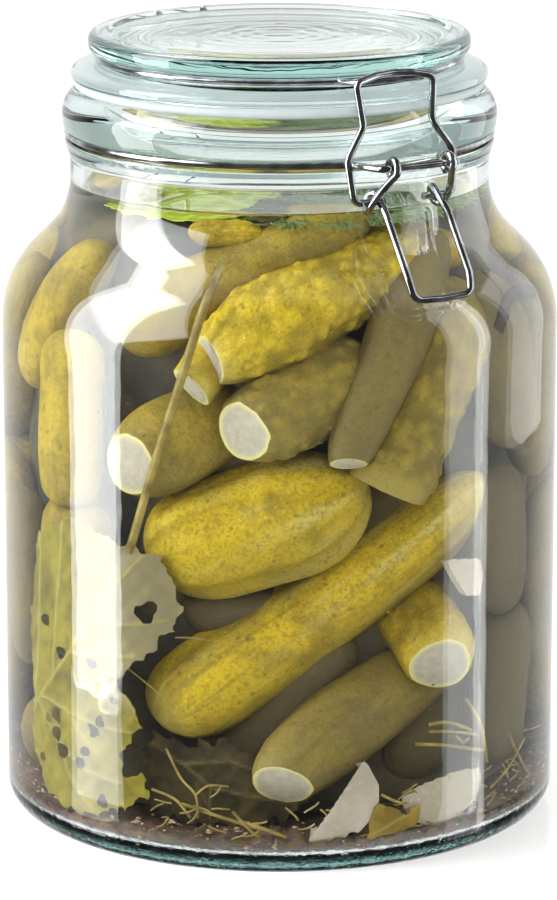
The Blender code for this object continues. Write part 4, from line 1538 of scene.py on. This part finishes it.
BITS_PER_PART = 32
PARTS = 15
BUBBLES = [
    # turn, height, spread and how many
    (-17, 168, 5, 9), (-20, 158, 4, 6), (-34, 128, 7, 12), (34, 47, 9, 8), (40, 60, 6, 8),
    (8, 40, 5, 4), (20, 150, 14, 6), (60, 130, 8, 6), (0, 60, 50, 10),
]


class JAR_OT_sediment(bpy.types.Operator):
    """Covers the floor with the spice that has settled there, and hangs small bubbles in the brine"""
    bl_idname = "clip_jar.sediment"
    bl_label = "Sediment and bubbles"

    def execute(self, context):
        self.bed()
        self.bits()
        self.bubbles()
        return {"FINISHED"}

    def bed(self):
        """A lumpy ring on the floor, against the wall."""
        floor = settings("jar_sizes").floor / MM
        wall = [(r - 0.5, z) for r, z in inner_line() if floor + 1.0 < z < floor + 5.5]
        outline = [(44.0, floor + 1.7), (44.0, floor + 4.2), (60.0, floor + 5.4), (70.0, floor + 5.8)] + wall
        outline += [(60.0, floor + 1.3)]
        piece = turned("sediment", outline, 360)
        points = get_points(piece)
        turn = np.arctan2(points[:, 1], points[:, 0])
        lumps = (
            np.sin(turn * 37) * np.sin(turn * 11 + 1)
            + 0.6 * np.sin(turn * 83 + points[:, 2] * 900)
            + 0.5 * np.sin(turn * 151 + 2))
        at_top = points[:, 2] > (floor + 3.4) * MM
        points[:, 2] += np.where(at_top, lumps * 0.7 * MM, 0.0)
        put_points(piece, kept_inside(points, 0.35))
        dress(piece, [finish(settled_spice)])

    def bits(self):
        """Seeds and crumbs on the ring: some in one part of it, copied round."""
        draw = random.Random(5)
        made = []
        for index in range(BITS_PER_PART):
            place = inside(draw.uniform(0.0, 24.0), draw.uniform(7.5, 12.5), draw.uniform(62.0, 74.6))
            deselect()
            bpy.ops.mesh.primitive_ico_sphere_add(subdivisions=1, radius=1.0)
            bit = bpy.context.object
            size = Vector((draw.uniform(0.5, 1.5), draw.uniform(0.35, 0.7), draw.uniform(0.25, 0.5))) * MM
            spin = Matrix.Rotation(draw.uniform(0.0, 6.3), 3, "Z")
            twist = spin @ Matrix.Rotation(draw.uniform(-0.5, 0.5), 3, "X")
            points = get_points(bit) * np.array(size)
            put_points(bit, points @ np.array(twist).T + np.array(place))
            made.append(bit)
        parts = [joined("settled_bits", made)]
        for part in range(1, PARTS):
            only(parts[0])
            bpy.ops.object.duplicate()
            copy = bpy.context.object
            turn = np.array(Matrix.Rotation(2 * math.pi * part / PARTS, 3, "Z"))
            shift = draw.uniform(-1.0, 1.0) * MM
            put_points(copy, get_points(parts[0]) @ turn.T + np.array([0.0, 0.0, shift]))
            parts.append(copy)
        piece = joined("settled_bits", parts)
        put_points(piece, kept_inside(get_points(piece), 0.3))
        only(piece)
        bpy.ops.object.shade_smooth()
        dress(piece, [finish(settled_bit)])

    def bubbles(self):
        """Groups of small bubbles, just inside the glass."""
        draw = random.Random(9)
        made = []
        for turn, height, spread, count in BUBBLES:
            for index in range(count):
                radius = draw.uniform(0.25, 0.6)
                place = inside(
                    turn + draw.uniform(-spread, spread), height + draw.uniform(-spread, spread) * 1.2, 75.0)
                kept = Vector(kept_inside(np.array([place]), radius + 0.25)[0])
                deselect()
                bpy.ops.mesh.primitive_uv_sphere_add(
                    segments=16, ring_count=10, radius=radius * MM, location=kept)
                bpy.ops.object.transform_apply(location=True, rotation=True, scale=True)
                made.append(bpy.context.object)
        piece = joined("bubbles", made)
        only(piece)
        bpy.ops.object.shade_smooth()
        dress(piece, [finish(bubble)])


BRINE_IN_GLASS = 0.15


class JAR_OT_brine(bpy.types.Operator):
    """Fills the jar with brine, which reaches just into the glass"""
    bl_idname = "clip_jar.brine"
    bl_label = "Brine"

    def execute(self, context):
        jar = settings("jar_sizes")
        top = jar.brine_top / MM
        wall = [point for point in inner_line(BRINE_IN_GLASS) if point[1] < top + 0.9]
        edge = wall[0][0] if wall[0][1] <= top else jar.neck / MM - jar.wall / MM + BRINE_IN_GLASS
        surface = eased([
            (edge, top + 1.0), (edge - 0.7, top + 0.45), (edge - 2.0, top + 0.1), (edge - 5.0, top)], 4)
        outline = [(0.0, top), (30.0, top)] + list(reversed(surface)) + wall
        piece = turned("brine", outline, jar.turn_steps)
        dress(piece, [finish(brine)])
        return {"FINISHED"}


class JAR_OT_studio(bpy.types.Operator):
    """Sets the floor, the softboxes, the sky and the camera"""
    bl_idname = "clip_jar.studio"
    bl_label = "Studio"

    def execute(self, context):
        studio = settings("studio")
        self.floor()
        self.sky(studio)
        self.softboxes(studio)
        self.camera(studio)
        context.scene.view_settings.view_transform = "Standard"
        return {"FINISHED"}

    def way(self, studio, turn, lift):
        """The direction at a turn to the right of the camera and a lift above the horizon, in degrees."""
        angle = studio.azimuth + math.radians(turn)
        rise = math.radians(lift)
        return Vector((math.sin(angle) * math.cos(rise), -math.cos(angle) * math.cos(rise), math.sin(rise)))

    def floor(self):
        deselect()
        bpy.ops.mesh.primitive_plane_add(size=8.0, location=(0.0, 0.0, 0.0))
        floor = named("floor")
        # Painted light: the floor glows, least by the jar so that its soft shadow shows, and more farther
        # away so that the far floor stays white
        made = Finish(
            "studio floor", Base_Color=(0.88, 0.88, 0.88), Roughness=0.10, Specular_IOR_Level=0.4,
            Emission_Strength=1.0)
        away = made.node(
            "ShaderNodeVectorMath", {"operation": "LENGTH"}, output="Value", **{"0": made.object_place()})
        glow = made.mix(away.between(0.4, 1.2), (0.30, 0.30, 0.30), (0.62, 0.62, 0.62))
        made.set(made.shader, **{"Emission Color": glow})
        floor.data.materials.append(made.mat)
        floor.visible_glossy = False
        floor.visible_transmission = False

    def sky(self, studio):
        """White to look at, even in what it lights, and dark on the camera's side where it is mirrored."""
        world = bpy.data.worlds.new("studio sky")
        bpy.context.scene.world = world
        world.use_nodes = True
        world.cycles.sampling_method = "NONE"
        nodes, links = world.node_tree.nodes, world.node_tree.links
        paths = nodes.new("ShaderNodeLightPath").outputs
        away = nodes.new("ShaderNodeVectorMath")
        away.operation = "DOT_PRODUCT"
        links.new(nodes.new("ShaderNodeTexCoord").outputs["Generated"], away.inputs[0])
        away.inputs[1].default_value = -self.way(studio, 0.0, 0.0)

        def by_direction(dark_at, bright_at):
            ramp = nodes.new("ShaderNodeMapRange")
            ramp.interpolation_type = "SMOOTHSTEP"
            links.new(away.outputs["Value"], ramp.inputs["Value"])
            ramp.inputs["From Min"].default_value = dark_at
            ramp.inputs["From Max"].default_value = bright_at
            ramp.inputs["To Min"].default_value = studio.mirrored
            ramp.inputs["To Max"].default_value = studio.backdrop
            return ramp.outputs["Result"]

        strength = None
        for socket, level in (
            (paths["Is Glossy Ray"], by_direction(0.35, 0.90)),
            (paths["Is Transmission Ray"], by_direction(-0.45, 0.05)),
            (paths["Is Camera Ray"], studio.backdrop),
        ):
            choice = nodes.new("ShaderNodeMix")
            choice.data_type = "FLOAT"
            links.new(socket, choice.inputs[0])
            if strength is None:
                choice.inputs[2].default_value = studio.fill
            else:
                links.new(strength, choice.inputs[2])
            if isinstance(level, float):
                choice.inputs[3].default_value = level
            else:
                links.new(level, choice.inputs[3])
            strength = choice.outputs[0]
        links.new(strength, nodes["Background"].inputs["Strength"])
        nodes["Background"].inputs["Color"].default_value = (1.0, 1.0, 1.0, 1.0)

    def softbox(self, studio, name, turn, lift, width, height, level, away=1.2, roll=0.0, mirror_only=False):
        """A lamp that faces the jar. Its level is a share of the key, and it may show in mirrors only."""
        direction = self.way(studio, turn, lift)
        aim = Vector((0.0, 0.0, studio.aim))
        bpy.ops.object.light_add(type="AREA", location=aim + direction * away)
        lamp = bpy.context.object
        lamp.name = name
        lamp.data.shape = "RECTANGLE"
        lamp.data.size = width
        lamp.data.size_y = height
        lamp.data.energy = level * studio.key * math.pi * width * height
        facing = (-direction).to_track_quat("-Z", "Y").to_matrix()
        lamp.rotation_euler = (facing @ Matrix.Rotation(math.radians(roll), 3, "Z")).to_euler()
        lamp.visible_diffuse = not mirror_only
        return lamp

    def softboxes(self, studio):
        deselect()
        self.softbox(studio, "left softbox", -81.7, 20.0, 0.62, 1.90, 0.73)
        self.softbox(studio, "left softbox foot", -81.7, -20.6, 0.51, 0.0865, 0.35, mirror_only=True)
        upper = self.softbox(studio, "upper panel", -72.6, 39.2, 0.84, 1.3, 0.36, roll=37.0, mirror_only=True)
        upper.data.color = (0.93, 0.95, 1.0)
        self.softbox(studio, "right strip", 82.0, 6.0, 0.44, 1.8, 0.20)
        self.softbox(studio, "right edge", 91.0, 6.0, 0.09, 1.8, 0.42)
        front = self.softbox(studio, "front fill", 10.0, 36.0, 1.4, 1.0, 0.33, away=2.2)
        front.visible_glossy = False
        front.visible_transmission = False
        self.softbox(studio, "right rear", 122.0, 9.8, 0.62, 1.0, 0.14, mirror_only=True)

    def camera(self, studio):
        deselect()
        bpy.ops.object.camera_add()
        camera = bpy.context.object
        camera.name = "camera"
        direction = self.way(studio, 0.0, math.degrees(studio.pitch))
        camera.location = Vector((0.0, 0.0, studio.aim)) + direction * studio.distance
        camera.rotation_euler = (-direction).to_track_quat("-Z", "Y").to_euler()
        camera.data.lens = studio.lens
        camera.data.sensor_width = 36.0
        camera.data.shift_x = -1.0 / 900.0
        camera.data.clip_start = 0.05
        camera.data.clip_end = 30.0
        bpy.context.scene.camera = camera


OPERATORS = [
    JAR_OT_studio, JAR_OT_glass, JAR_OT_lid, JAR_OT_seal, JAR_OT_ring_wires, JAR_OT_clip, JAR_OT_core,
    JAR_OT_gherkins, JAR_OT_leaves, JAR_OT_garlic, JAR_OT_stems, JAR_OT_sediment, JAR_OT_brine,
]
GROUPS = {
    "jar_sizes": JarSizes,
    "clip_sizes": ClipSizes,
    "food_colours": FoodColours,
    "studio": StudioSettings,
}


class JAR_PT_panel(bpy.types.Panel):
    """Lists the settings and the pieces"""
    bl_label = "Clip top jar"
    bl_idname = "JAR_PT_panel"
    bl_space_type = "VIEW_3D"
    bl_region_type = "UI"
    bl_category = "Jar"

    def draw(self, context):
        for name in GROUPS:
            box = self.layout.box()
            group = getattr(context.scene, name)
            for key in group.__annotations__:
                box.prop(group, key)
        for operator in OPERATORS:
            self.layout.operator(operator.bl_idname)


def register():
    for made in [*GROUPS.values(), *OPERATORS, JAR_PT_panel]:
        bpy.utils.register_class(made)
    for name, group in GROUPS.items():
        setattr(bpy.types.Scene, name, bpy.props.PointerProperty(type=group))


def unregister():
    for name in GROUPS:
        delattr(bpy.types.Scene, name)
    for made in [JAR_PT_panel, *reversed(OPERATORS), *reversed(GROUPS.values())]:
        bpy.utils.unregister_class(made)


def main():
    register()
    bpy.ops.clip_jar.studio()
    bpy.ops.clip_jar.glass()
    bpy.ops.clip_jar.lid()
    bpy.ops.clip_jar.seal()
    bpy.ops.clip_jar.ring_wires()
    bpy.ops.clip_jar.clip()
    bpy.ops.clip_jar.core()
    bpy.ops.clip_jar.gherkins()
    bpy.ops.clip_jar.leaves()
    bpy.ops.clip_jar.garlic()
    bpy.ops.clip_jar.stems()
    bpy.ops.clip_jar.sediment()
    bpy.ops.clip_jar.brine()
    deselect()
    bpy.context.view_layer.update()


if __name__ == "__main__":
    main()
